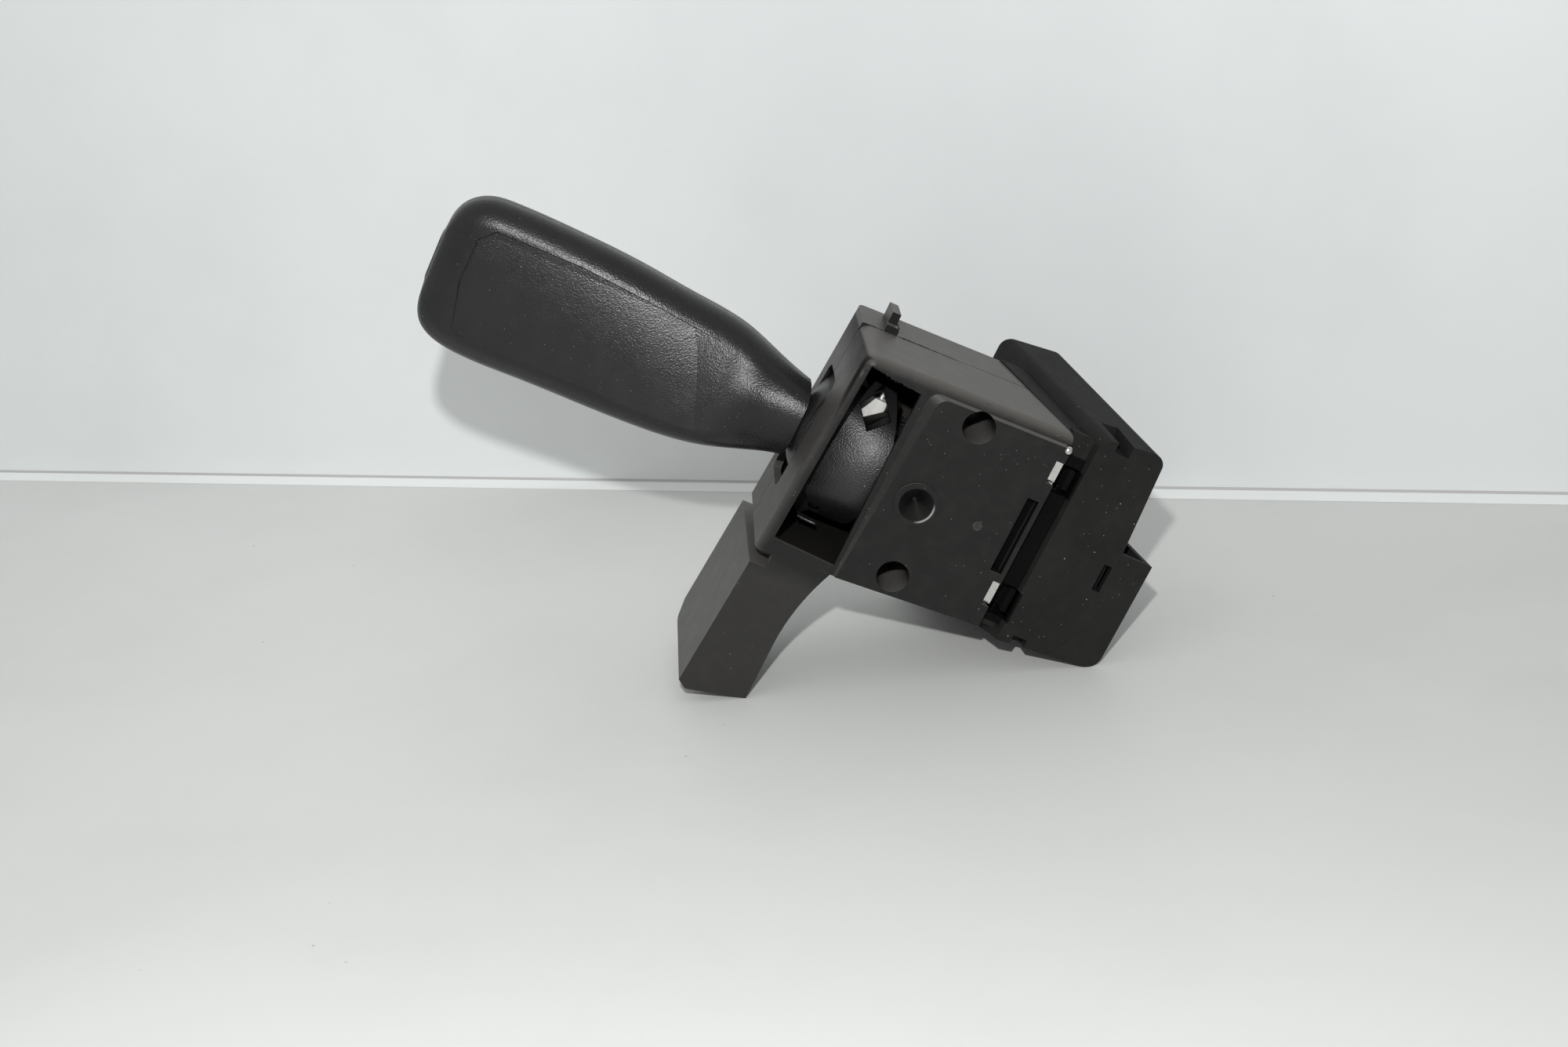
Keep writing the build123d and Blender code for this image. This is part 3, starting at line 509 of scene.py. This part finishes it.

# Painted shade darkens the plastic inside the window, in the plate's slot and in the block's groove, and weakens its
# specular
windowPocket = {"low": (-34.6, 1.4, -51.7), "high": (-10.0, 58.0, 5.5), "soft": 0.8, "dark": 0.85}
plateSlot = {"low": (19.2, 0.5, -34.2), "high": (23.8, 9.0, -10.9), "soft": 0.5, "dark": 0.9}
grooveShade = {"low": (23.6, 1.7, -47.5), "high": (31.4, 9.5, 3.0), "soft": 0.7, "dark": 0.8}
deepShade = {"tone": (0.002, 0.002, 0.002), "housingGloss": 0.9, "socketGloss": 0.95}


def boxMask(tree, place, values):
    sides = axes(tree, place)
    mask = 1.0
    for index, axis in enumerate("XYZ"):
        low, high, soft = values["low"][index], values["high"][index], values["soft"]
        rising = ramp(tree, sides[axis], low, low + soft)
        falling = ramp(tree, sides[axis], high - soft, high, 1.0, 0.0)
        mask = calc(tree, "MULTIPLY", mask, calc(tree, "MULTIPLY", rising, falling))
    return mask


def shadedBy(tree, place, boxes):
    total = 0.0
    for values in boxes:
        shade = calc(tree, "MULTIPLY", boxMask(tree, place, values), values["dark"])
        total = calc(tree, "MAXIMUM", total, shade)
    return total


# Plastic with painted shade: darker colour and weaker specular inside the given boxes
def shadedMaterial(name, values, boxes):
    material, tree, shader, look = plasticMaterial(name, values)
    shaded = shadedBy(tree, switchPlace(tree), boxes)
    feed(tree, shader.inputs["Base Color"], blendColour(tree, shaded, look["Colour"], deepShade["tone"]))
    level = calc(tree, "SUBTRACT", 1.0, shaded)
    feed(tree, shader.inputs["Specular IOR Level"], calc(tree, "MULTIPLY", level, values["specular"]))
    return material


def pinMask(tree, place):
    whole, core = [
        useGroup(tree, groups["spot"], Place=place, Centre=pinMark["centre"], Radius=radius, Soft=soft)["Mask"]
        for radius, soft in ((pinMark["radius"], pinMark["soft"]), (pinMark["core"], pinMark["coreSoft"]))
    ]
    cloud = ramp(tree, noise(tree, place, 1.4, 4.0), 0.35, 0.7, 0.35, 1.0)
    ring = calc(tree, "SUBTRACT", whole, calc(tree, "MULTIPLY", core, pinMark["coreShare"]))
    return calc(tree, "MULTIPLY", ring, cloud)


# Masks for the dimple: its inside (painted shade, more gloss), a crescent of its rim (painted highlight) and its
# turning rings
def dimpleMasks(tree, place):
    outer = dimple["outer"]
    flat = vectorCalc(tree, "MULTIPLY", place, (1, 0, 1))
    apart = vectorCalc(tree, "DISTANCE", flat, dimple["centre"])
    inside = ramp(tree, apart, dimple["inner"], outer, 1.0, 0.0)
    outward = vectorCalc(tree, "NORMALIZE", vectorCalc(tree, "SUBTRACT", flat, dimple["centre"]))
    facing = vectorCalc(tree, "DOT_PRODUCT", outward, dimple["rimHighlightSide"])
    rim = calc(tree, "MULTIPLY", ramp(tree, apart, dimple["rimIn"] * outer, outer),
               ramp(tree, apart, outer, dimple["rimOut"] * outer, 1.0, 0.0))
    highlightCrescent = calc(tree, "MULTIPLY", rim, ramp(tree, facing, 0.6, 0.95))
    rings = calc(tree, "SINE", calc(tree, "MULTIPLY", apart, dimple["ringPitch"]))
    return inside, highlightCrescent, calc(tree, "MULTIPLY", rings, inside)


def housingMaterial():
    material, tree, shader, look = plasticMaterial("housingPlastic", housingFinish)
    place = switchPlace(tree)
    # Paler towards the wing tip
    towardsWingTip = ramp(tree, axes(tree, place)["Z"], wingTipPaling["low"], wingTipPaling["high"], wingTipPaling["share"], 0.0)
    tone = blendColour(tree, towardsWingTip, look["Colour"], wingTipPaling["tone"])
    tone = blendColour(tree, pinMask(tree, place), tone, pinMark["tone"])
    # Painted shade inside the window, the plate's slot and the groove
    pocketShade = shadedBy(tree, place, (windowPocket, plateSlot, grooveShade))
    tone = blendColour(tree, pocketShade, tone, deepShade["tone"])
    inDimple, highlightCrescent, rings = dimpleMasks(tree, place)
    # Painted shade inside the dimple, and a painted highlight on a crescent of its rim
    tone = blendColour(tree, calc(tree, "MULTIPLY", inDimple, dimple["share"]), tone, dimple["tone"])
    feed(tree, shader.inputs["Base Color"], blendColour(tree, highlightCrescent, tone, dimple["rimHighlightTone"]))
    level = calc(tree, "SUBTRACT", 1.0, calc(tree, "MULTIPLY", pocketShade, deepShade["housingGloss"]))
    feed(tree, shader.inputs["Specular IOR Level"], calc(tree, "MULTIPLY", level, housingFinish["specular"]))
    feed(tree, shader.inputs["Normal"], bumped(tree, rings, dimple["ringDepth"], look["Normal"]))
    rough = calc(tree, "SUBTRACT", look["Roughness"], calc(tree, "MULTIPLY", inDimple, dimple["gloss"]))
    feed(tree, shader.inputs["Roughness"], rough)
    return material


# The other plastics, and how the flat paddle, neck and drum faces are crowned
baseFinish = {
    "base": (0.0165, 0.0162, 0.0158), "rough": 0.55, "grainScale": 1.8, "grainDepth": 0.000012,
    "film": 0.5, "topDustAndLight": 0.0, "dust": 0.4, "scuffs": 0.5, "specular": 0.06,
}
carrierFinish = {
    "base": (0.0095, 0.0095, 0.0098), "rough": 0.40, "grainScale": 2.1, "grainDepth": 0.00010,
    "film": 0.25, "topDustAndLight": 0.03, "dust": 0.2, "scuffs": 0.2, "specular": 0.5,
}
handleFinish = {
    "base": (0.0085, 0.0085, 0.0089), "rough": 0.34, "grainScale": 2.1, "grainDepth": 0.00009,
    "film": 0.3, "topDustAndLight": 0.03, "dust": 0.22, "scuffs": 0.25, "specular": 0.4,
}
# Near-black plastic, painted shade on the socket behind the drum's hole
shadeFinish = {
    "base": (0.002, 0.002, 0.002), "rough": 0.6, "grainScale": 1.5, "grainDepth": 0.00001,
    "film": 0.0, "topDustAndLight": 0.0, "dust": 0.05, "scuffs": 0.0, "specular": 0.1,
}
paddleShape = {
    "centre": (-98.0, 0, -14.0), "rise": (0.0042, 0, 0.012), "side": (0, 0, 0),
    "lean": (-0.10, 0, 0.09), "limit": 0.5,
}
neckShape = {
    "centre": (-44.0, 0, -19.5), "rise": (0, 0, 0.085), "side": (0.02, 0, 0),
    "lean": (-0.28, 0, 0.33), "limit": 0.7, "from": -62.0, "to": -49.0,
}
drumShape = {
    "centre": (-20.7, 0, -19.5), "rise": (0, 0, -0.020), "side": (0.035, 0, 0),
    "lean": (-0.24, 0, 0.0), "limit": 0.6,
}
# White plastic; the darker-ended kind turns near black from a given point along the stalk axis on
whiteFinish = {
    "base": (0.74, 0.735, 0.70), "rough": 0.36,
    "darkening": (0.02, 0.018, 0.014), "darkFrom": -19.4, "darkSoft": 0.5,
}
boardFinish = {
    "resin": (0.19, 0.115, 0.04), "fibre": (0.30, 0.21, 0.09), "rough": 0.5, "roughSpan": 0.1,
    "weaveScale": 1.7, "weaveShare": 0.35, "weaveDepth": 0.00001, "burnt": (0.1, 0.06, 0.025),
}
metalFinishes = {
    "zincSteel": {"base": (0.56, 0.56, 0.55), "rough": 0.34, "lines": (0.3, 3.0, 0.3), "stain": 0.35},
    "springSteel": {"base": (0.62, 0.62, 0.60), "rough": 0.24, "lines": (4.0, 0.4, 4.0), "stain": 0.25},
    "pinSteel": {"base": (0.60, 0.60, 0.59), "rough": 0.22, "lines": (5.0, 5.0, 0.3), "stain": 0.2},
    "tinnedBrass": {"base": (0.66, 0.61, 0.48), "rough": 0.32, "lines": (2.0, 2.0, 0.3), "stain": 0.5},
}


def crowned(tree, values):
    return useGroup(tree, groups["crown"], Centre=values["centre"], Rise=values["rise"],
                    Side=values["side"], Lean=values["lean"], Limit=values["limit"])["Normal"]


def drumNormal(tree):
    return crowned(tree, drumShape)


def socketShadeMask(tree):
    centreU, centreW = holeSocket["centre"]
    away = vectorCalc(tree, "SUBTRACT", switchPlace(tree), (centreU, 0, centreW))
    turn = math.radians(holeSocket["turn"])
    half = holeSocket["side"] / 2
    mask = 1.0
    for way in ((math.cos(turn), 0, math.sin(turn)), (-math.sin(turn), 0, math.cos(turn))):
        reach = calc(tree, "ABSOLUTE", vectorCalc(tree, "DOT_PRODUCT", away, way))
        edge = ramp(tree, reach, half + holeSocket["edgeFrom"], half + holeSocket["edgeTo"], 1.0, 0.0)
        mask = calc(tree, "MULTIPLY", mask, edge)
    return mask


def carrierMaterial():
    material, tree, shader, look = plasticMaterial("carrierPlastic", carrierFinish, drumNormal)
    # Painted shade: the carrier goes near black around the square hole, with weaker specular
    mask = socketShadeMask(tree)
    feed(tree, shader.inputs["Base Color"], blendColour(tree, mask, look["Colour"], deepShade["tone"]))
    level = calc(tree, "SUBTRACT", 1.0, calc(tree, "MULTIPLY", mask, deepShade["socketGloss"]))
    feed(tree, shader.inputs["Specular IOR Level"], calc(tree, "MULTIPLY", level, carrierFinish["specular"]))
    return material


def handleShape(tree):
    paddle, neck = crowned(tree, paddleShape), crowned(tree, neckShape)
    along = axes(tree, switchPlace(tree))["X"]
    mix = add(tree, "ShaderNodeMix", data_type="VECTOR")
    feed(tree, mix.inputs["Factor"], ramp(tree, along, neckShape["from"], neckShape["to"]))
    feed(tree, mix.inputs[4], paddle)
    feed(tree, mix.inputs[5], neck)
    return vectorCalc(tree, "NORMALIZE", mix.outputs[1])


def whiteMaterial(name, darkEnded):
    material, tree, shader = newMaterial(name)
    look = useGroup(tree, groups["white"], Base=whiteFinish["base"], Rough=whiteFinish["rough"])
    finishWith(tree, shader, look)
    if darkEnded:
        # Near black from a given point along the stalk axis on
        start = whiteFinish["darkFrom"]
        dark = ramp(tree, axes(tree, switchPlace(tree))["X"], start, start + whiteFinish["darkSoft"])
        feed(tree, shader.inputs["Base Color"], blendColour(tree, dark, look["Colour"], whiteFinish["darkening"]))
    return material


def metalMaterial(name):
    material, tree, shader = newMaterial(name)
    values = metalFinishes[name]
    look = useGroup(tree, groups["metal"], Base=values["base"], Rough=values["rough"],
                    Lines=values["lines"], Stain=values["stain"])
    finishWith(tree, shader, look)
    shader.inputs["Metallic"].default_value = 1
    return material


def boardMaterial():
    material, tree, shader = newMaterial("boardLaminate")
    place = switchPlace(tree)
    weave = add(tree, "ShaderNodeTexChecker")
    feed(tree, weave.inputs["Vector"], place)
    weave.inputs["Scale"].default_value = boardFinish["weaveScale"]
    blotch = noise(tree, place, 0.5, 4.0)
    share = calc(tree, "MULTIPLY", weave.outputs["Fac"], boardFinish["weaveShare"])
    tone = blendColour(tree, share, boardFinish["resin"], boardFinish["fibre"])
    tone = blendColour(tree, ramp(tree, blotch, 0.35, 0.75, 0.0, 0.4), tone, boardFinish["burnt"])
    feed(tree, shader.inputs["Base Color"], tone)
    rough, span = boardFinish["rough"], boardFinish["roughSpan"]
    feed(tree, shader.inputs["Roughness"], ramp(tree, blotch, 0.3, 0.7, rough - span, rough + span))
    feed(tree, shader.inputs["Normal"], bumped(tree, weave.outputs["Fac"], boardFinish["weaveDepth"]))
    return material


def coat(nodeName, material):
    piece = frame["nodes"][nodeName]
    piece.data.materials.clear()
    piece.data.materials.append(material)
    return piece


# Bevel widths in metres, for edges sharper than sharpAngle once flat facets are merged
edgeRound = {
    "mergeAngle": 0.6, "sharpAngle": 35, "segments": 2,
    "widths": {"housing_front": 0.00022, "housing_rear": 0.00022, "base_block": 0.00022,
               "carrier": 0.00015, "handle_front_shell": 0.0004},
}


def softenEdges(piece, width):
    merge = piece.modifiers.new("mergeFlats", "DECIMATE")
    merge.decimate_type = "DISSOLVE"
    merge.angle_limit = math.radians(edgeRound["mergeAngle"])
    bevel = piece.modifiers.new("softEdges", "BEVEL")
    bevel.width = width
    bevel.segments = edgeRound["segments"]
    bevel.limit_method = "ANGLE"
    bevel.angle_limit = math.radians(edgeRound["sharpAngle"])
    bevel.harden_normals = False


def coatNodes():
    housing = housingMaterial()
    # The base and the shield carry painted shade in the groove and the window
    base = shadedMaterial("basePlastic", baseFinish, (grooveShade,))
    shield = shadedMaterial("shieldPlastic", carrierFinish, (windowPocket,))
    carrierSkin = carrierMaterial()
    shadeSkin = plasticMaterial("shadedPlastic", shadeFinish)[0]
    handleSkin = plasticMaterial("handlePlastic", handleFinish, handleShape)[0]
    white = whiteMaterial("whitePlastic", False)
    darkEnded = whiteMaterial("darkEndedWhitePlastic", True)
    zinc, spring, pinSteel, tinned = [metalMaterial(name) for name in metalFinishes]
    board = boardMaterial()
    skins = {
        "housing_front": housing, "housing_rear": housing, "base_block": base, "base_cover": base,
        "carrier": carrierSkin, "dust_shield": shield,
        "handle_front_shell": handleSkin, "handle_rear_shell": handleSkin,
        "lever_core": darkEnded, "detent_track": white, "detent_plunger": white,
        "swing_slider": darkEnded, "pull_slider": white,
        "fixing_sleeves": zinc, "pull_pin": pinSteel, "retaining_strip": spring,
        "return_spring": spring, "detent_spring": spring, "connector_blades": tinned,
        "swing_contact_bridge": tinned, "fixed_contacts": tinned, "pull_contact_sleeve": tinned,
        "pull_contact_pin": tinned, "connector_board": board, "contact_board": board,
    }
    for name, skin in skins.items():
        piece = coat(name, skin)
        if name in edgeRound["widths"]:
            softenEdges(piece, edgeRound["widths"][name])
    print("nodes coated")
    return housing, carrierSkin, shadeSkin


# Pieces drawn in the switch's own axes

def solidPiece(name, body, slot, material, draw):
    mesh = bmesh.new()
    draw(mesh)
    bmesh.ops.recalc_face_normals(mesh, faces=mesh.faces)
    data = bpy.data.meshes.new(name)
    mesh.to_mesh(data)
    mesh.free()
    piece = bpy.data.objects.new(name, data)
    bpy.context.collection.objects.link(piece)
    data.materials.append(material)
    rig.ride(piece, body)
    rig.slot(piece, slot)
    return piece


def thicken(mesh, faces, depth):
    grown = bmesh.ops.extrude_face_region(mesh, geom=faces)["geom"]
    far = [part for part in grown if isinstance(part, bmesh.types.BMVert)]
    bmesh.ops.translate(mesh, vec=placed(0, depth, 0), verts=far)


def addPrism(mesh, outline, front, rear):
    near = mesh.faces.new([mesh.verts.new(placed(u, front, w)) for u, w in outline])
    thicken(mesh, [near], rear - front)


# Drum flanks: the drum's skin runs on under the left frame, as far as its swing leaves room
drumFlank = {
    "swing": (-5.6, -24.9), "stalkDepth": 28.0, "radius": 20.5, "skin": 1.4, "overlap": 0.3,
    "solidReach": 27.3, "wallReach": 27.3, "wallLean": -3.55, "swingAngle": 8.5,
    "upper": (9.0, 18.0), "lower": (-12.6, -9.0), "steps": 14, "columns": 6,
}


def flankPoint(offset, share):
    swingU, swingW = drumFlank["swing"]
    overlap = drumFlank["overlap"]
    inner = swingU - math.sqrt(drumFlank["solidReach"] ** 2 - offset ** 2)
    edges = []
    for side in (-1, 1):
        turn = math.radians(side * drumFlank["swingAngle"] - drumFlank["wallLean"])
        edges.append(swingU - (drumFlank["wallReach"] - offset * math.sin(turn)) / math.cos(turn))
    outer = min(max(edges), inner)
    front = drumFlank["stalkDepth"] - math.sqrt(max(drumFlank["radius"] ** 2 - offset ** 2, 0.0))
    return inner + overlap + (outer - inner - overlap) * share, front, swingW + offset


def makeDrumFlanks(material):
    def draw(mesh):
        for low, high in (drumFlank["upper"], drumFlank["lower"]):
            grid = bmesh.ops.create_grid(mesh, x_segments=drumFlank["columns"],
                                         y_segments=drumFlank["steps"], size=0.5)["verts"]
            for vert in grid:
                share, climb = vert.co.x + 0.5, vert.co.y + 0.5
                vert.co = placed(*flankPoint(low + (high - low) * climb, share))
            faces = list({face for vert in grid for face in vert.link_faces})
            thicken(mesh, faces, drumFlank["skin"])
    piece = solidPiece("drumFlanks", "carrier", "carrier_plastic", material, draw)
    for face in piece.data.polygons:
        face.use_smooth = True
    print("drum flanks made")


# Socket behind the drum's turned-square hole, seen as the hole's thick dark rim; its near-black colour is painted
# shade
holeSocket = {
    "centre": (-22.9, -10.4), "side": 6.6, "wall": 0.9, "turn": 38.0, "front": 18.2, "rear": 22.2,
    "edgeFrom": 0.08, "edgeTo": 0.16,
}


def makeHoleSocket(material):
    def ring(reach):
        points = []
        for corner in range(4):
            angle = math.radians(holeSocket["turn"] + 45 + 90 * corner)
            points.append((holeSocket["centre"][0] + reach * math.cos(angle),
                           holeSocket["centre"][1] + reach * math.sin(angle)))
        return points

    def draw(mesh):
        inner = ring(holeSocket["side"] / math.sqrt(2))
        outer = ring(holeSocket["side"] / math.sqrt(2) + holeSocket["wall"])
        for index in range(4):
            after = (index + 1) % 4
            addPrism(mesh, [inner[index], inner[after], outer[after], outer[index]],
                     holeSocket["front"], holeSocket["rear"])
    solidPiece("holeSocket", "carrier", "carrier_plastic", material, draw)
    print("hole socket made")


# Window frame: a thin lip on its left and top edges, with ragged flash along the top
windowFrame = {
    "corners": [(-34.8, -48.2), (-31.5, 3.4), (-16.9, 1.9)],
    "lip": 0.42, "lipShift": 0.02, "lipFront": 0.62, "lipRear": 1.4,
    "flashStep": 0.35, "flashDepth": (0.05, 0.55), "flashFoot": 0.05, "flashEnds": 0.4,
    "flashFront": 0.95, "flashRear": 1.15, "seed": 7,
}


def makeWindowFrame(material):
    lowLeft, topLeft, topRight = [Vector(corner) for corner in windowFrame["corners"]]
    lip, foot, ends = windowFrame["lip"], windowFrame["flashFoot"], windowFrame["flashEnds"]

    def drawLip(mesh):
        for start, end, shift in ((lowLeft, topLeft, Vector((-lip, windowFrame["lipShift"]))),
                                  (topLeft, topRight, Vector((0, lip)))):
            outline = [tuple(start), tuple(end), tuple(end + shift), tuple(start + shift)]
            addPrism(mesh, outline, windowFrame["lipFront"], windowFrame["lipRear"])

    def drawFlash(mesh):
        chance = random.Random(windowFrame["seed"])
        length = (topRight - topLeft).length
        count = int(length / windowFrame["flashStep"])
        along = (topRight - topLeft) / count
        low, high = windowFrame["flashDepth"]
        depths = [chance.uniform(low, high) * (ends + (1 - ends) * math.sin(math.pi * i / count))
                  for i in range(count + 1)]
        for index in range(count):
            start = topLeft + along * index
            end = start + along
            outline = [(start.x, start.y + foot), (end.x, end.y + foot),
                       (end.x, end.y - depths[index + 1]), (start.x, start.y - depths[index])]
            addPrism(mesh, outline, windowFrame["flashFront"], windowFrame["flashRear"])

    solidPiece("windowLip", "housing", "housing_plastic", material, drawLip)
    solidPiece("windowFlash", "housing", "housing_plastic", material, drawFlash)
    print("window frame made")


# Part line on the housing's top: an uneven raised seam in two stretches, the longer one fading out to the right
topSeam = {
    "depth": 28.0, "parts": [(-33.4, -27.9, 0.0), (-23.2, -4.6, 0.75)], "height": (0.10, 0.30),
    "foot": 0.35, "width": 0.32, "step": 0.7, "left": (-33.6, 6.64), "slope": 0.0311, "seed": 3,
}


def makeTopSeam(material):
    def draw(mesh):
        chance = random.Random(topSeam["seed"])
        for start, end, fading in topSeam["parts"]:
            count = int((end - start) / topSeam["step"])
            top, foot = [], []
            for index in range(count + 1):
                u = start + (end - start) * index / count
                base = topSeam["left"][1] + topSeam["slope"] * (u - topSeam["left"][0])
                fade = 1.0 - fading * index / count
                top.append((u, base + chance.uniform(*topSeam["height"]) * fade))
                foot.append((u, base - topSeam["foot"]))
            half = topSeam["width"] / 2
            for index in range(count):
                outline = [foot[index], foot[index + 1], top[index + 1], top[index]]
                addPrism(mesh, outline, topSeam["depth"] - half, topSeam["depth"] + half)
    solidPiece("topSeam", "housing", "housing_plastic", material, draw)
    print("top seam made")


# Low rib that edges the drum's lower end
drumRib = {
    "outline": [(-29.2, -44.3), (-24.0, -44.6), (-24.0, -45.0), (-29.2, -44.7)],
    "front": 14.2, "rear": 17.0,
}


def makeDrumRibs(material):
    def draw(mesh):
        addPrism(mesh, drumRib["outline"], drumRib["front"], drumRib["rear"])
    solidPiece("drumRibs", "carrier", "carrier_plastic", material, draw)
    print("drum rib made")


# Stage: a pale table, a wall that crosses behind it at a slight angle, and a cove and seam where they meet; painted
# light makes table and wall paler towards the left and the back, and the cove's paler colour is a painted highlight
stage = {
    "wallBase": (-0.05, 0.1609), "wallLine": (0.951, -0.3094), "wallLeft": -0.95, "wallRight": 0.5,
    "wallHeight": 0.34, "tableFront": -0.36,
    "tableColour": (0.545, 0.555, 0.540), "wallColour": (0.555, 0.572, 0.572),
    "paler": 1.42, "paintedLightFrom": -0.22, "paintedLightTo": 0.16, "paintedLightNear": -0.12, "paintedLightFar": 0.16,
    "cloudShare": 0.05, "gritTone": (0.2, 0.18, 0.16), "gritShare": 0.5,
    "coveHighlightColour": (0.68, 0.70, 0.69), "seamColour": (0.36, 0.36, 0.35),
    "coveWidth": 0.006, "seamWidth": 0.0007,
    "coveNear": 0.00005, "coveFar": 0.0012, "seamNear": 0.0011, "seamFar": 0.0019,
}


def stagePiece(name, corners, colour, speckle=False):
    mesh = bmesh.new()
    mesh.faces.new([mesh.verts.new(corner) for corner in corners])
    data = bpy.data.meshes.new(name)
    mesh.to_mesh(data)
    mesh.free()
    piece = bpy.data.objects.new(name, data)
    bpy.context.collection.objects.link(piece)
    material, tree, shader = newMaterial(name + "Finish")
    where = add(tree, "ShaderNodeTexCoord").outputs["Object"]
    cloud = noise(tree, where, 9.0, 5.0, 0.6)
    sides = axes(tree, where)
    # Painted light: paler towards the left and the back
    across = ramp(tree, sides["X"], stage["paintedLightFrom"], stage["paintedLightTo"], 1.0, 0.0)
    along = ramp(tree, sides["Y"], stage["paintedLightNear"], stage["paintedLightFar"])
    paintedLight = calc(tree, "MULTIPLY", calc(tree, "ADD", across, along), 0.5)
    paler = tuple(channel * stage["paler"] for channel in colour)
    plain = blendColour(tree, paintedLight, colour, paler)
    dull = blendColour(tree, stage["cloudShare"], plain, (0, 0, 0))
    tone = blendColour(tree, ramp(tree, cloud, 0.35, 0.7), plain, dull)
    if speckle:
        place = stretched(tree, where, (1000, 1000, 1000))
        grit = useGroup(tree, groups["specks"], Place=place, Cells=0.11, Size=0.035, Share=0.25)["Mask"]
        tone = blendColour(tree, calc(tree, "MULTIPLY", grit, stage["gritShare"]), tone, stage["gritTone"])
    feed(tree, shader.inputs["Base Color"], tone)
    feed(tree, shader.inputs["Roughness"], ramp(tree, cloud, 0.3, 0.7, 0.5, 0.62))
    data.materials.append(material)
    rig.stage(piece)


def makeStage():
    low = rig.bounds()[0][2]
    base = Vector(stage["wallBase"])
    line = Vector(stage["wallLine"]).normalized()
    front = Vector((line.y, -line.x))
    left = base + line * stage["wallLeft"]
    right = base + line * stage["wallRight"]
    foot = front * 0
    seam = front * stage["seamWidth"]
    cove = front * stage["coveWidth"]

    def strip(near, nearHeight, far, farHeight):
        return [(end.x + shift.x, end.y + shift.y, low + height) for end, shift, height in (
            (left, near, nearHeight), (right, near, nearHeight),
            (right, far, farHeight), (left, far, farHeight))]

    near = stage["tableFront"]
    stagePiece("table", [(left.x, near, low), (right.x, near, low), (right.x, right.y, low),
                         (left.x, left.y, low)], stage["tableColour"], speckle=True)
    stagePiece("wall", strip(foot, 0, foot, stage["wallHeight"]), stage["wallColour"])
    # The cove strip's paler colour is a painted highlight where table meets wall
    stagePiece("cove", strip(cove, stage["coveNear"], seam, stage["coveFar"]), stage["coveHighlightColour"])
    stagePiece("seam", strip(seam, stage["seamNear"], foot, stage["seamFar"]), stage["seamColour"])
    print("stage laid")


# Lights: a small lamp close above the lens, in a room that is brightest on the left and dimmer overhead
lights = {
    "lampUp": 0.080, "lampLeft": 0.017, "lampSize": 0.007, "lampPower": 9.6,
    "roomLow": 0.76, "roomTop": 0.66, "roomBack": 0.80, "roomLeft": 1.22, "roomRight": 0.92,
}


def makeLights():
    lamp = bpy.data.lights.new("nearLamp", "POINT")
    lamp.shadow_soft_size = lights["lampSize"]
    lamp.energy = lights["lampPower"]
    holder = bpy.data.objects.new("nearLamp", lamp)
    place = Vector(camera["place"]) + Vector(camera["up"]) * lights["lampUp"]
    holder.location = place - Vector(camera["right"]) * lights["lampLeft"]
    bpy.context.collection.objects.link(holder)
    world = bpy.data.worlds.new("room")
    bpy.context.scene.world = world
    world.use_nodes = True
    tree = world.node_tree
    tree.nodes.clear()
    ways = axes(tree, add(tree, "ShaderNodeTexCoord").outputs["Generated"])
    side = ramp(tree, ways["X"], -0.7, 0.6, lights["roomLeft"], lights["roomRight"])
    height = ramp(tree, ways["Z"], 0.0, 0.85, lights["roomLow"], lights["roomTop"])
    depth = ramp(tree, ways["Y"], -0.9, 0.3, lights["roomBack"], 1.0)
    backdrop = add(tree, "ShaderNodeBackground")
    output = add(tree, "ShaderNodeOutputWorld")
    strength = calc(tree, "MULTIPLY", calc(tree, "MULTIPLY", height, side), depth)
    feed(tree, backdrop.inputs["Strength"], strength)
    tree.links.new(backdrop.outputs["Background"], output.inputs["Surface"])
    print("lights set")


bpy.context.scene.view_settings.view_transform = "Standard"
makeCamera()
makeStage()
makeLights()
housingSkin, drumSkin, shadeSkin = coatNodes()
makeDrumFlanks(drumSkin)
makeHoleSocket(shadeSkin)
makeDrumRibs(drumSkin)
makeWindowFrame(housingSkin)
makeTopSeam(housingSkin)

with open("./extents.json") as sizeFile:
    sizes = json.load(sizeFile)
sizes["end"] = [list(corner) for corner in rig.bounds()]
with open("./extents.json", "w") as sizeFile:
    json.dump(sizes, sizeFile)
